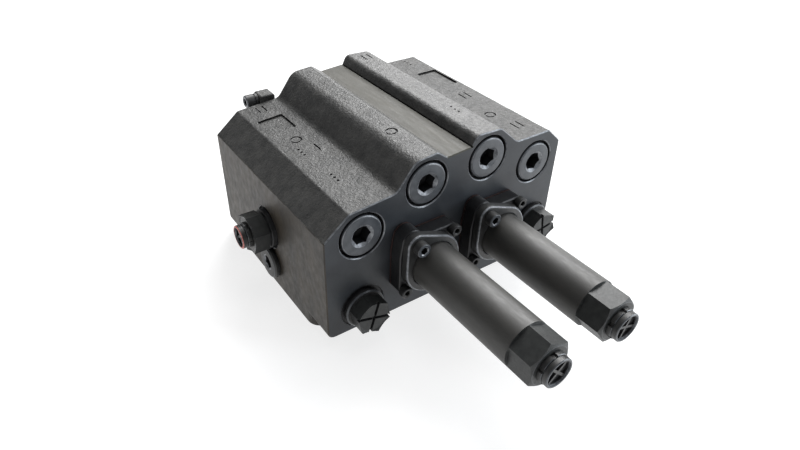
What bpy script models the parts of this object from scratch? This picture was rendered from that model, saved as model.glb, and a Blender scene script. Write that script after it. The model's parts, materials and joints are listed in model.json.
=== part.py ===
"""Two-spool hydraulic monoblock valve with spring tubes, modelled piece by piece.

Metres, +Z up. The origin is under the middle of the cast block, at the level of its foot rails.
The spools run along Y. Their spring tubes stand out of the front, towards -Y.
"""

from math import acos, asin, atan2, cos, pi, radians, sin

import bmesh
import bpy
from mathutils import Matrix, Vector

MM = 0.001
GAP = 0.3 * MM

# Cast block
WIDTH = 165 * MM
DEPTH = 138 * MM
FRONT = -DEPTH / 2
BACK = DEPTH / 2
LEFT = -WIDTH / 2
RIGHT = WIDTH / 2
BASE = 6 * MM
LEFT_SHOULDER_Z = 73.3 * MM
RIGHT_SHOULDER_Z = 84.9 * MM
# (x, z) of the top outline, from the left chamfer over the two ridges to the right chamfer
TOP_OUTLINE_MM = [
    (-67.2, 85.9), (-38.3, 88.5), (-26.9, 103.5), (-12.5, 104.7), (-5.6, 99.7),
    (11.2, 101.0), (14.2, 107.0), (31.8, 106.5), (45.9, 94.3), (71.9, 94.4),
]
EDGE_BEVEL = 1.0 * MM
# A foot rail under each side, with round ends, and a round pad of the same height in the middle
RAIL_X = 73.5 * MM
RAIL_HALF_WIDTH = 8.8 * MM
RAIL_END_Y = 44 * MM
PAD_RADIUS = 7.9 * MM
FOOT_THREAD_RADIUS = 3.4 * MM
FOOT_THREAD_DEPTH = 15 * MM
# x low, x high, y low, y high and the surface height of the two shallow label recesses
RECESSES_MM = [(-63.2, -46.4, 26.7, 47.2, 86.6), (54.8, 70.3, 15.0, 41.2, 94.3)]
RECESS_DEPTH = 0.8 * MM

# Spools and what holds them
SPOOL_X = (-23.1 * MM, 26.6 * MM)
SPOOL_Z = 45.3 * MM
SPOOL_BORE_RADIUS = 8.0 * MM
SPOOL_RADIUS = 7.7 * MM
SPOOL_GROOVE_RADIUS = 5.0 * MM
SPOOL_FRONT = -80.6 * MM
SPOOL_BACK = 80 * MM
SPOOL_GROOVES_MM = [(-52, -40), (-26, -14), (-4, 8), (20, 32), (44, 54)]
TONGUE_LENGTH = 16 * MM
TONGUE_THICKNESS = 6 * MM
TONGUE_WIDTH = 11 * MM
TONGUE_HOLE_RADIUS = 3.4 * MM

# Front end of each spool: gasket, plate, flange and tube, stacked towards -Y
GASKET_THICKNESS = 0.8 * MM
PLATE_THICKNESS = 8.5 * MM
FLANGE_THICKNESS = 5.0 * MM
GASKET_BACK = FRONT - GAP
PLATE_BACK = GASKET_BACK - GASKET_THICKNESS - GAP
PLATE_FRONT = PLATE_BACK - PLATE_THICKNESS
FLANGE_BACK = PLATE_FRONT - GAP
FLANGE_FRONT = FLANGE_BACK - FLANGE_THICKNESS
PLATE_HALF_X = 19.0 * MM
PLATE_HALF_Z = 17.8 * MM
PLATE_SCREW_AT = Vector((16.2 * MM, 15.0 * MM))
FLANGE_SCREW_AT = Vector((-11.0 * MM, 16.7 * MM))
FLANGE_RADIUS = 18.15 * MM
FLANGE_LOBE_RADIUS = 6.6 * MM
PLATE_BORE_RADIUS = 11.5 * MM
TUBE_SEAT_DEPTH = 4.9 * MM

# Spring tube, with a hexagon across its end
TUBE_RADIUS = 13.86 * MM
TUBE_BORE_RADIUS = 11.3 * MM
TUBE_HEX_FLATS = 24 * MM
TUBE_HEX_LENGTH = 15.5 * MM
TUBE_BACK = PLATE_FRONT + TUBE_SEAT_DEPTH - GAP
TUBE_FRONTS = (-172.1 * MM, -170.6 * MM)
TUBE_HEX_TURNS = (radians(35), radians(5))
TUBE_WALL_BACK = -160 * MM
ADJUSTER_HOLE_RADIUS = 5.3 * MM

# Stroke adjuster and its lock ring, in front of the tube
LOCK_RING_RADIUS = 9.0 * MM
LOCK_RING_ROOT_RADIUS = 7.7 * MM
LOCK_RING_THICKNESS = 2.6 * MM
LOCK_RING_LUGS = 6
ADJUSTER_SHANK_RADIUS = 5.0 * MM
ADJUSTER_HEAD_RADIUS = 8.5 * MM
ADJUSTER_HEAD_LENGTH = 2.8 * MM
ADJUSTER_TIP = -158.6 * MM

# Spring pack inside the tube
INNER_CUP_BACK = SPOOL_FRONT - GAP
CUP_RADIUS = 10.8 * MM
CUP_FLANGE = 2 * MM
CUP_BOSS_RADIUS = 5.8 * MM
CUP_BOSS_LENGTH = 6 * MM
OUTER_CUP_FRONT = -141 * MM
BOLT_SHANK_RADIUS = 2.9 * MM
BOLT_HOLE_RADIUS = 3.3 * MM
BOLT_HEAD_RADIUS = 5.0 * MM
BOLT_HEAD_BACK = -148 * MM
BOLT_HEAD_FRONT = -152 * MM
BOLT_IN_SPOOL = 14 * MM
SPRING_MEAN_RADIUS = 8.2 * MM
SPRING_WIRE_RADIUS = 1.1 * MM
SPRING_TURNS = 5

# Flush hollow-hex plugs across the upper front: (x, z)
FRONT_PLUGS_MM = [(-59.7, 69.7), (-18.6, 87.5), (23.8, 90.3), (62.4, 75.8)]
PLUG_COUNTERBORE_RADIUS = 13.9 * MM
PLUG_COUNTERBORE_DEPTH = 5.5 * MM
PLUG_COLLAR_RADIUS = 12.9 * MM
PLUG_COLLAR_LENGTH = 5.4 * MM
PLUG_THREAD_RADIUS = 10.0 * MM
PLUG_THREAD_LENGTH = 14 * MM
PLUG_CAVITY_DEPTH = 34 * MM
PLUG_SOCKET_FLATS = 10 * MM
PLUG_SOCKET_DEPTH = 8 * MM
PLUG_PROUD = 0.3 * MM

# Proud hexagon plugs over the load checks: (x, z, counterbore radius)
HEX_PLUGS_MM = {"left": (-59.9, 21.2, 13.9), "right": (67.5, 31.2, 12.9)}
HEX_PLUG_COUNTERBORE_DEPTH = 1.2 * MM
HEX_PLUG_COLLAR_RADIUS = 12.3 * MM
HEX_PLUG_COLLAR_LENGTH = 3.4 * MM
HEX_PLUG_FLATS = 19 * MM
HEX_PLUG_HEIGHT = 12 * MM
HEX_PLUG_THREAD_RADIUS = 9.2 * MM
HEX_PLUG_THREAD_LENGTH = 14 * MM
HEX_PLUG_BORE_RADIUS = 5.5 * MM
HEX_PLUG_BORE_DEPTH = 12 * MM
HEX_PLUG_TURN = radians(11.7)
GROOVE_WIDTH = 1.8 * MM
GROOVE_DEPTH = 1.2 * MM
CHECK_CAVITY_RADIUS = 9.5 * MM
CHECK_SEAT_Y = -40 * MM
CHECK_PASSAGE_RADIUS = 5.0 * MM
CHECK_PASSAGE_END = -25 * MM

# Relief cartridge on the left face, axis along -X
RELIEF_Y = 1.1 * MM
RELIEF_Z = 41.5 * MM
RELIEF_COUNTERBORE_RADIUS = 13.4 * MM
RELIEF_COUNTERBORE_DEPTH = 1.5 * MM
RELIEF_COLLAR_RADIUS = 12.2 * MM
RELIEF_COLLAR_LENGTH = 2.6 * MM
RELIEF_HEX_FLATS = 22 * MM
RELIEF_HEX_LENGTH = 10.2 * MM
RELIEF_SLEEVE_RADIUS = 8.7 * MM
RELIEF_CAVITY_RADIUS = 9.0 * MM
RELIEF_SLEEVE_END = -52 * MM
RELIEF_CAVITY_END = -48 * MM
RELIEF_BORE_RADIUS = 6.0 * MM
RELIEF_BORE_OUTER_END = -86 * MM
RELIEF_SCREW_HOLE_RADIUS = 4.3 * MM
RELIEF_SCREW_RADIUS = 4.0 * MM
RELIEF_RING_RADIUS = 7.8 * MM
RELIEF_RING_LENGTH = 2.4 * MM
RELIEF_HEAD_RADIUS = 7.2 * MM
RELIEF_HEAD_LENGTH = 3.0 * MM

# Plug with a hexagon socket under the cartridge, axis along -X
SIDE_PLUG_Y = -1.4 * MM
SIDE_PLUG_Z = 17.9 * MM
SIDE_PLUG_RADIUS = 10.9 * MM
SIDE_PLUG_PROUD = 4.0 * MM
SIDE_PLUG_THREAD_RADIUS = 7.8 * MM
SIDE_PLUG_THREAD_LENGTH = 12 * MM
SIDE_PLUG_SOCKET_FLATS = 8 * MM
SIDE_PLUG_SOCKET_DEPTH = 7 * MM

# Ports: (x, z) on the back, and the larger tank port on the right
BACK_PORTS_MM = [(-62, 54), (-62, 23), (-18.6, 87.5), (23.8, 90.3), (62.4, 75.8)]
BACK_PORT_RADIUS = 9.3 * MM
PORT_FACE_RADIUS_STEP = 3.2 * MM
PORT_FACE_DEPTH = 0.6 * MM
PORT_DEPTH = 22 * MM
TANK_PORT_RADIUS = 11.9 * MM
TANK_PORT_Y = -4 * MM
TANK_PORT_Z = 38 * MM

# Service block and its cross plug, behind the top left of the cast block
SERVICE_BLOCK_MM = ((-50.5, 69.3, 65.5), (-40, 80, 91.3))
SERVICE_SCREW_X = -45.2 * MM
SERVICE_SCREW_Z = (71 * MM, 82.5 * MM)
SERVICE_SCREW_IN_BLOCK = 9 * MM
CROSS_PLUG_RADIUS = 4.0 * MM
CROSS_PLUG_AT_MM = (-50.8, 74.6, 87.6)
CROSS_PLUG_LENGTH = 8.2 * MM

# Seal plates around the spools at the back
REAR_PLATE_BACK = BACK + GAP
REAR_PLATE_THICKNESS = 6 * MM
REAR_PLATE_HALF = 16 * MM
REAR_SCREW_OFFSET = 12 * MM

# Socket head cap screws: head radius, head length, shank radius, socket across flats
M4 = (3.5 * MM, 4.0 * MM, 2.0 * MM, 3.0 * MM)
M5 = (4.25 * MM, 5.0 * MM, 2.5 * MM, 4.0 * MM)
SCREW_CLEARANCE = 0.3 * MM

ROUND_STEPS = 24
SMALL_STEPS = 16
HOLE_STEPS = 10
CUT_OVERSHOOT = 2 * MM

# Rotations that turn local +Z to the way each piece faces
FACE_FRONT = Matrix.Rotation(radians(90), 4, "X")
FACE_BACK = Matrix.Rotation(radians(-90), 4, "X")
FACE_LEFT = Matrix.Rotation(radians(-90), 4, "Y")
FACE_RIGHT = Matrix.Rotation(radians(90), 4, "Y")

# name: colour, roughness, metallic
FINISHES = {
    "cast_black": ((0.035, 0.036, 0.038), 0.55, 0.0),
    "satin_black": ((0.016, 0.017, 0.018), 0.38, 0.0),
    "steel": ((0.42, 0.42, 0.43), 0.30, 1.0),
    "spring_steel": ((0.30, 0.31, 0.33), 0.35, 1.0),
    "gasket": ((0.075, 0.022, 0.018), 0.80, 0.0),
}


def clear_scene():
    for obj in list(bpy.data.objects):
        bpy.data.objects.remove(obj, do_unlink=True)


def new_collection(name, hidden=False):
    made = bpy.data.collections.new(name)
    bpy.context.scene.collection.children.link(made)
    made.hide_render = hidden
    return made


def make_material(name):
    colour, roughness, metallic = FINISHES[name]
    made = bpy.data.materials.new(name)
    made.use_nodes = True
    shader = made.node_tree.nodes["Principled BSDF"]
    shader.inputs["Base Color"].default_value = (*colour, 1.0)
    shader.inputs["Roughness"].default_value = roughness
    shader.inputs["Metallic"].default_value = metallic
    return made


def place(obj, facing=None, at=(0, 0, 0), turn=0.0):
    """Turns local +Z to the facing direction, after a turn about local Z, and moves the origin."""
    spin = Matrix.Rotation(turn, 4, "Z")
    obj.matrix_world = Matrix.Translation(at) @ (facing or Matrix()) @ spin


def add_object(name, mesh, collection, finish=None):
    obj = bpy.data.objects.new(name, mesh)
    collection.objects.link(obj)
    if finish:
        mesh.materials.append(MATERIALS[finish])
    if collection is CUTTERS:
        obj.display_type = "WIRE"
        obj.hide_render = True
    return obj


def mesh_from_bmesh(name, bm):
    mesh = bpy.data.meshes.new(name)
    bm.to_mesh(mesh)
    bm.free()
    return mesh


def turned(name, profile, collection, finish=None, steps=ROUND_STEPS, ring=False):
    """A body of revolution about local Z. The (radius, height) profile runs down its outer side."""
    bm = bmesh.new()
    verts = [bm.verts.new((radius, 0, height)) for radius, height in profile]
    pairs = list(zip(verts, verts[1:]))
    if ring:
        pairs.append((verts[-1], verts[0]))
    for first, second in pairs:
        bm.edges.new((first, second))
    obj = add_object(name, mesh_from_bmesh(name, bm), collection, finish)
    screw = obj.modifiers.new("Screw", "SCREW")
    screw.angle = 2 * pi
    screw.steps = steps
    screw.render_steps = steps
    screw.use_merge_vertices = True
    screw.merge_threshold = 0.00001
    screw.use_smooth_shade = False
    return obj


def prism(name, sides, radius, low, high, collection, finish=None):
    """A prism about local Z with its corners on the radius."""
    bm = bmesh.new()
    bmesh.ops.create_cone(
        bm, cap_ends=True, segments=sides, radius1=radius, radius2=radius, depth=high - low
    )
    bmesh.ops.translate(bm, verts=bm.verts, vec=(0, 0, (low + high) / 2))
    return add_object(name, mesh_from_bmesh(name, bm), collection, finish)


def box(name, low, high, collection, finish=None, bevel=0.0):
    bm = bmesh.new()
    bmesh.ops.create_cube(bm, size=1.0)
    low, high = Vector(low), Vector(high)
    bmesh.ops.scale(bm, verts=bm.verts, vec=high - low)
    bmesh.ops.translate(bm, verts=bm.verts, vec=(low + high) / 2)
    obj = add_object(name, mesh_from_bmesh(name, bm), collection, finish)
    if bevel:
        add_bevel(obj, bevel)
    return obj


def add_bevel(obj, width, angle=40):
    bevel = obj.modifiers.new("Bevel", "BEVEL")
    bevel.width = width
    bevel.segments = 1
    bevel.limit_method = "ANGLE"
    bevel.angle_limit = radians(angle)
    return bevel


def outline_solid(name, points, thickness, collection, finish=None):
    """A flat outline extruded evenly to both sides of local Z = 0."""
    curve = bpy.data.curves.new(name, "CURVE")
    curve.dimensions = "2D"
    curve.fill_mode = "BOTH"
    curve.extrude = thickness / 2
    spline = curve.splines.new("POLY")
    spline.points.add(len(points) - 1)
    for point, (x, y) in zip(spline.points, points):
        point.co = (x, y, 0, 1)
    spline.use_cyclic_u = True
    return curve_to_mesh(name, curve, collection, finish)


def curve_to_mesh(name, curve, collection, finish):
    guide = bpy.data.objects.new(name + "_guide", curve)
    bpy.context.scene.collection.objects.link(guide)
    graph = bpy.context.evaluated_depsgraph_get()
    mesh = bpy.data.meshes.new_from_object(guide.evaluated_get(graph))
    bpy.data.objects.remove(guide, do_unlink=True)
    bm = bmesh.new()
    bm.from_mesh(mesh)
    bmesh.ops.remove_doubles(bm, verts=bm.verts, dist=0.000001)
    bmesh.ops.dissolve_limit(bm, angle_limit=radians(0.5), verts=bm.verts, edges=bm.edges)
    bmesh.ops.recalc_face_normals(bm, faces=bm.faces)
    bm.to_mesh(mesh)
    bm.free()
    mesh.name = name
    mesh.materials.clear()
    return add_object(name, mesh, collection, finish)


def coil(name, mean_radius, wire_radius, turns, low, high, points_a_turn=10):
    """A compression spring about local Z, a curve tube along a helix."""
    curve = bpy.data.curves.new(name, "CURVE")
    curve.dimensions = "3D"
    curve.bevel_depth = wire_radius
    curve.bevel_resolution = 2
    curve.use_fill_caps = True
    curve.materials.append(MATERIALS["spring_steel"])
    spline = curve.splines.new("POLY")
    count = turns * points_a_turn
    spline.points.add(count)
    start = low + wire_radius
    rise = (high - low - 2 * wire_radius) / count
    for index, point in enumerate(spline.points):
        angle = 2 * pi * index / points_a_turn
        height = start + rise * index
        point.co = (mean_radius * cos(angle), mean_radius * sin(angle), height, 1)
    obj = bpy.data.objects.new(name, curve)
    PARTS.objects.link(obj)
    return obj


def cut(obj, *cutters, operation="DIFFERENCE"):
    for cutter in cutters:
        boolean = obj.modifiers.new(cutter.name, "BOOLEAN")
        boolean.operation = operation
        boolean.solver = "EXACT"
        boolean.object = cutter


def stepped_cutter(name, steps, facing, at, count=ROUND_STEPS):
    """A stepped bore: (radius, depth) pairs from the mouth inwards, at a face that looks along facing."""
    mouth_radius = steps[0][0]
    profile = [(0, CUT_OVERSHOOT), (mouth_radius, CUT_OVERSHOOT)]
    previous_depth = 0.0
    for index, (radius, depth) in enumerate(steps):
        if index:
            profile.append((radius, -previous_depth))
        profile.append((radius, -depth))
        previous_depth = depth
    profile.append((0, -previous_depth))
    cutter = turned(name, profile, CUTTERS, steps=count)
    place(cutter, facing, at)
    return cutter


def smooth(obj, angle=35):
    if obj.type == "MESH":
        obj.data.shade_smooth()
        obj.data.set_sharp_from_angle(angle=radians(angle))


def arc_points(centre, radius, start, end, count):
    """Points along an arc, start and end in radians."""
    return [
        (centre[0] + radius * cos(a), centre[1] + radius * sin(a))
        for a in (start + (end - start) * i / (count - 1) for i in range(count))
    ]


def two_lobe_outline(radius, lobe_radius, lobe_at, count=13):
    """A round flange with a lobe on each side, at lobe_at and opposite it, joined by tangents."""
    lobe_distance = lobe_at.length
    lobe_angle = atan2(lobe_at.y, lobe_at.x)
    lean = acos((radius - lobe_radius) / lobe_distance)
    points = []
    for side in (0, pi):
        angle = lobe_angle + side
        centre = (lobe_distance * cos(angle), lobe_distance * sin(angle))
        points += arc_points(centre, lobe_radius, angle - lean, angle + lean, 7)
        points += arc_points((0, 0), radius, angle + lean, angle + pi - lean, count)
    return points


# --- the cast block ---------------------------------------------------------------------------


def block_outline():
    top = [(x * MM, z * MM) for x, z in TOP_OUTLINE_MM]
    left = [(LEFT, BASE), (LEFT, LEFT_SHOULDER_Z)]
    right = [(RIGHT, RIGHT_SHOULDER_Z), (RIGHT, BASE)]
    return left + top + right


def spool_bore_cutters():
    for index, x in enumerate(SPOOL_X, 1):
        bore = prism(f"spool_bore_{index}", ROUND_STEPS, SPOOL_BORE_RADIUS, -DEPTH, DEPTH, CUTTERS)
        place(bore, FACE_FRONT, (x, 0, SPOOL_Z))
        yield bore


def front_plug_cutters():
    steps = [
        (PLUG_COUNTERBORE_RADIUS, PLUG_COUNTERBORE_DEPTH),
        (PLUG_THREAD_RADIUS + GAP, PLUG_CAVITY_DEPTH),
    ]
    for index, (x, z) in enumerate(FRONT_PLUGS_MM, 1):
        yield stepped_cutter(f"plug_cavity_{index}", steps, FACE_FRONT, (x * MM, FRONT, z * MM))


def check_cavity_cutters():
    for side, (x, z, recess) in HEX_PLUGS_MM.items():
        steps = [
            (recess * MM, HEX_PLUG_COUNTERBORE_DEPTH),
            (CHECK_CAVITY_RADIUS, CHECK_SEAT_Y - FRONT),
            (CHECK_PASSAGE_RADIUS, CHECK_PASSAGE_END - FRONT),
        ]
        at = (x * MM, FRONT, z * MM)
        yield stepped_cutter(f"check_cavity_{side}", steps, FACE_FRONT, at, SMALL_STEPS)


def side_cutters():
    relief = [
        (RELIEF_COUNTERBORE_RADIUS, RELIEF_COUNTERBORE_DEPTH),
        (RELIEF_CAVITY_RADIUS, RELIEF_CAVITY_END - LEFT),
    ]
    yield stepped_cutter("relief_cavity", relief, FACE_LEFT, (LEFT, RELIEF_Y, RELIEF_Z))
    plug = [(SIDE_PLUG_THREAD_RADIUS + GAP, SIDE_PLUG_THREAD_LENGTH + 4 * MM)]
    yield stepped_cutter("side_plug_cavity", plug, FACE_LEFT, (LEFT, SIDE_PLUG_Y, SIDE_PLUG_Z))


def port_steps(radius):
    return [(radius + PORT_FACE_RADIUS_STEP, PORT_FACE_DEPTH), (radius, PORT_DEPTH)]


def port_cutters():
    for index, (x, z) in enumerate(BACK_PORTS_MM, 1):
        at = (x * MM, BACK, z * MM)
        steps = port_steps(BACK_PORT_RADIUS)
        yield stepped_cutter(f"back_port_{index}", steps, FACE_BACK, at, SMALL_STEPS)
    tank = (RIGHT, TANK_PORT_Y, TANK_PORT_Z)
    yield stepped_cutter("tank_port", port_steps(TANK_PORT_RADIUS), FACE_RIGHT, tank)


def foot_shapes():
    """The two foot rails, and the pad in the middle."""
    height = BASE + 1 * MM
    ends = arc_points((0, RAIL_END_Y), RAIL_HALF_WIDTH, 0, pi, 9)
    ends += arc_points((0, -RAIL_END_Y), RAIL_HALF_WIDTH, pi, 2 * pi, 9)
    for side, x in (("left", -RAIL_X), ("right", RAIL_X)):
        rail = outline_solid(f"rail_{side}", ends, height, CUTTERS)
        place(rail, None, (x, 0, height / 2))
        yield rail
    yield prism("pad", SMALL_STEPS, PAD_RADIUS, 0, height, CUTTERS)


def foot_thread_cutters():
    mouth = -CUT_OVERSHOOT
    corners = [(sx * RAIL_X, sy * RAIL_END_Y) for sx in (-1, 1) for sy in (-1, 1)]
    for index, (x, y) in enumerate(corners, 1):
        name = f"foot_thread_{index}"
        thread = prism(name, HOLE_STEPS, FOOT_THREAD_RADIUS, mouth, FOOT_THREAD_DEPTH, CUTTERS)
        place(thread, None, (x, y, 0))
        yield thread


def screw_hole_cutters():
    radius = M4[2] + SCREW_CLEARANCE
    for index, x in enumerate(SPOOL_X, 1):
        for side in (1, -1):
            dx, dz = PLATE_SCREW_AT * side
            hole = prism(
                f"plate_thread_{index}_{side}", HOLE_STEPS, radius, -CUT_OVERSHOOT, 12 * MM, CUTTERS
            )
            place(hole, FACE_BACK, (x + dx, FRONT, SPOOL_Z + dz))
            yield hole
            rear = prism(
                f"rear_thread_{index}_{side}", HOLE_STEPS, radius, -CUT_OVERSHOOT, 10 * MM, CUTTERS
            )
            at = (x + REAR_SCREW_OFFSET * side, BACK, SPOOL_Z + REAR_SCREW_OFFSET * side)
            place(rear, FACE_FRONT, at)
            yield rear
    for index, z in enumerate(SERVICE_SCREW_Z, 1):
        depth = SERVICE_SCREW_IN_BLOCK + 1 * MM
        hole = prism(f"service_thread_{index}", HOLE_STEPS, radius, -CUT_OVERSHOOT, depth, CUTTERS)
        place(hole, FACE_FRONT, (SERVICE_SCREW_X, BACK, z))
        yield hole


def recess_cutters():
    for index, (x0, x1, y0, y1, top) in enumerate(RECESSES_MM, 1):
        floor = top * MM - RECESS_DEPTH
        yield box(
            f"recess_{index}",
            (x0 * MM, y0 * MM, floor),
            (x1 * MM, y1 * MM, floor + 5 * MM),
            CUTTERS,
        )


def build_block():
    body = outline_solid("valve_body", block_outline(), DEPTH, PARTS, "cast_black")
    place(body, FACE_FRONT)
    add_bevel(body, EDGE_BEVEL, angle=60)
    cut(body, *foot_shapes(), operation="UNION")
    cut(body, *spool_bore_cutters(), *front_plug_cutters(), *check_cavity_cutters())
    cut(body, *side_cutters(), *port_cutters(), *foot_thread_cutters())
    cut(body, *screw_hole_cutters(), *recess_cutters())
    smooth(body)


# --- plugs ------------------------------------------------------------------------------------


def hex_radius(flats):
    """Corner radius of a hexagon, from its distance across flats."""
    return flats / 2 / cos(pi / 6)


def build_front_plugs():
    face = PLUG_PROUD
    shoulder = face - PLUG_COLLAR_LENGTH
    tip = shoulder - PLUG_THREAD_LENGTH
    chamfer = 1.2 * MM
    profile = [
        (0, face),
        (PLUG_COLLAR_RADIUS - chamfer, face),
        (PLUG_COLLAR_RADIUS, face - chamfer),
        (PLUG_COLLAR_RADIUS, shoulder),
        (PLUG_THREAD_RADIUS, shoulder),
        (PLUG_THREAD_RADIUS, tip + chamfer),
        (PLUG_THREAD_RADIUS - chamfer, tip),
        (0, tip),
    ]
    for index, (x, z) in enumerate(FRONT_PLUGS_MM, 1):
        at = (x * MM, FRONT, z * MM)
        plug = turned(f"front_plug_{index}", profile, PARTS, "satin_black")
        place(plug, FACE_FRONT, at)
        socket = prism(
            f"plug_socket_{index}", 6, hex_radius(PLUG_SOCKET_FLATS), face - PLUG_SOCKET_DEPTH,
            face + CUT_OVERSHOOT, CUTTERS,
        )
        place(socket, FACE_FRONT, at, radians(12 + 17 * index))
        cut(plug, socket)
        smooth(plug)


def build_hex_plugs():
    thread = HEX_PLUG_THREAD_RADIUS
    collar_low = -HEX_PLUG_COUNTERBORE_DEPTH + GAP
    tip = -HEX_PLUG_THREAD_LENGTH
    bore = HEX_PLUG_BORE_RADIUS
    profile = [
        (0, HEX_PLUG_COLLAR_LENGTH),
        (HEX_PLUG_COLLAR_RADIUS - 1.0 * MM, HEX_PLUG_COLLAR_LENGTH),
        (HEX_PLUG_COLLAR_RADIUS, HEX_PLUG_COLLAR_LENGTH - 1.0 * MM),
        (HEX_PLUG_COLLAR_RADIUS, collar_low),
        (thread, collar_low),
        (thread, tip),
        (bore, tip),
        (bore, tip + HEX_PLUG_BORE_DEPTH),
        (0, tip + HEX_PLUG_BORE_DEPTH),
    ]
    for side, (x, z, _) in HEX_PLUGS_MM.items():
        at = (x * MM, FRONT, z * MM)
        plug = turned(f"hex_plug_{side}", profile, PARTS, "satin_black")
        place(plug, FACE_FRONT, at)
        head = prism(
            f"hex_head_{side}", 6, hex_radius(HEX_PLUG_FLATS), HEX_PLUG_COLLAR_LENGTH - 1 * MM,
            HEX_PLUG_HEIGHT, CUTTERS,
        )
        place(head, FACE_FRONT, at, HEX_PLUG_TURN)
        cut(plug, head, operation="UNION")
        for number in range(2):
            arm = HEX_PLUG_FLATS
            groove = box(
                f"groove_{side}_{number}",
                (-arm, -GROOVE_WIDTH / 2, HEX_PLUG_HEIGHT - GROOVE_DEPTH),
                (arm, GROOVE_WIDTH / 2, HEX_PLUG_HEIGHT + CUT_OVERSHOOT),
                CUTTERS,
            )
            place(groove, FACE_FRONT, at, HEX_PLUG_TURN + number * pi / 2)
            cut(plug, groove)
        smooth(plug)
        build_load_check(side, at)


def build_load_check(side, at):
    """Poppet and spring behind a hexagon plug. Heights run from the front face inwards."""
    seat = FRONT - CHECK_SEAT_Y
    profile = [
        (0, seat + 17 * MM),
        (5.0 * MM, seat + 17 * MM),
        (5.0 * MM, seat + 7 * MM),
        (7.5 * MM, seat + 7 * MM),
        (7.5 * MM, seat + 3.4 * MM),
        (4.4 * MM, seat + 0.3 * MM),
        (0, seat + 0.3 * MM),
    ]
    poppet = turned(f"check_poppet_{side}", profile, PARTS, "steel", SMALL_STEPS)
    place(poppet, FACE_FRONT, at)
    smooth(poppet)
    bore_end = -HEX_PLUG_THREAD_LENGTH + HEX_PLUG_BORE_DEPTH
    spring = coil(f"check_spring_{side}", 4.0 * MM, 0.6 * MM, 3, seat + 17 * MM + GAP, bore_end - GAP)
    place(spring, FACE_FRONT, at)


def build_side_plug():
    face = SIDE_PLUG_PROUD
    low = GAP
    profile = [
        (0, face),
        (SIDE_PLUG_RADIUS - 1.2 * MM, face),
        (SIDE_PLUG_RADIUS, face - 1.2 * MM),
        (SIDE_PLUG_RADIUS, low),
        (SIDE_PLUG_THREAD_RADIUS, low),
        (SIDE_PLUG_THREAD_RADIUS, low - SIDE_PLUG_THREAD_LENGTH),
        (0, low - SIDE_PLUG_THREAD_LENGTH),
    ]
    at = (LEFT, SIDE_PLUG_Y, SIDE_PLUG_Z)
    plug = turned("side_plug", profile, PARTS, "satin_black")
    place(plug, FACE_LEFT, at)
    socket_radius = hex_radius(SIDE_PLUG_SOCKET_FLATS)
    bottom = face - SIDE_PLUG_SOCKET_DEPTH
    socket = prism("side_plug_socket", 6, socket_radius, bottom, face + CUT_OVERSHOOT, CUTTERS)
    place(socket, FACE_LEFT, at)
    cut(plug, socket)
    smooth(plug)


# --- front end of a spool ---------------------------------------------------------------------


def spool_end_outline():
    """The intermediate plate: a rectangle joined with the two lobes of the flange's screws."""
    lobe = FLANGE_LOBE_RADIUS
    centre = FLANGE_SCREW_AT
    corner = 3 * MM
    half = arc_points((PLATE_HALF_X - corner, PLATE_HALF_Z - corner), corner, 0, pi / 2, 4)
    start = asin((PLATE_HALF_Z - centre.y) / lobe)
    half += arc_points(centre, lobe, start, pi, 7)
    half += [(-PLATE_HALF_X, centre.y - lobe - 2 * MM)]
    return half + [(-x, -y) for x, y in half]


def build_spool_ends():
    for index, x in enumerate(SPOOL_X, 1):
        build_gasket_and_plate(index, x)
        build_flange(index, x)
        build_tube(index, x)
        build_adjuster(index, x)
        build_spring_pack(index, x)


def bored_plate(name, thickness, back, x, finish):
    """A piece with the plate's outline, the bore and clearance holes for the plate screws."""
    middle = back - thickness / 2
    piece = outline_solid(name, spool_end_outline(), thickness, PARTS, finish)
    place(piece, FACE_FRONT, (x, middle, SPOOL_Z))
    bore = prism(f"{name}_bore", ROUND_STEPS, PLATE_BORE_RADIUS, -thickness, thickness, CUTTERS)
    place(bore, FACE_FRONT, (x, middle, SPOOL_Z))
    cut(piece, bore)
    radius = M4[2] + SCREW_CLEARANCE
    for number, side in enumerate((1, -1)):
        dx, dz = PLATE_SCREW_AT * side
        hole = prism(f"{name}_hole_{number}", HOLE_STEPS, radius, -thickness, thickness, CUTTERS)
        place(hole, FACE_FRONT, (x + dx, middle, SPOOL_Z + dz))
        cut(piece, hole)
    return piece


def build_gasket_and_plate(index, x):
    bored_plate(f"gasket_{index}", GASKET_THICKNESS, GASKET_BACK, x, "gasket")
    plate = bored_plate(f"spring_plate_{index}", PLATE_THICKNESS, PLATE_BACK, x, "satin_black")
    seat = prism(
        f"tube_seat_{index}", ROUND_STEPS, TUBE_RADIUS + GAP, -TUBE_SEAT_DEPTH, CUT_OVERSHOOT, CUTTERS
    )
    place(seat, FACE_FRONT, (x, PLATE_FRONT, SPOOL_Z))
    cut(plate, seat)
    for number, side in enumerate((1, -1), 1):
        dx, dz = FLANGE_SCREW_AT * side
        thread = prism(
            f"flange_thread_{index}_{number}", HOLE_STEPS, M5[2] + SCREW_CLEARANCE,
            -PLATE_THICKNESS + 1 * MM, CUT_OVERSHOOT, CUTTERS,
        )
        place(thread, FACE_FRONT, (x + dx, PLATE_FRONT, SPOOL_Z + dz))
        cut(plate, thread)
        dx, dz = PLATE_SCREW_AT * side
        grip = PLATE_FRONT - FRONT
        build_cap_screw(f"plate_screw_{index}_{number}", M4, 10 * MM - grip, FACE_FRONT,
                        (x + dx, PLATE_FRONT - GAP, SPOOL_Z + dz))
    smooth(plate)


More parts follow.
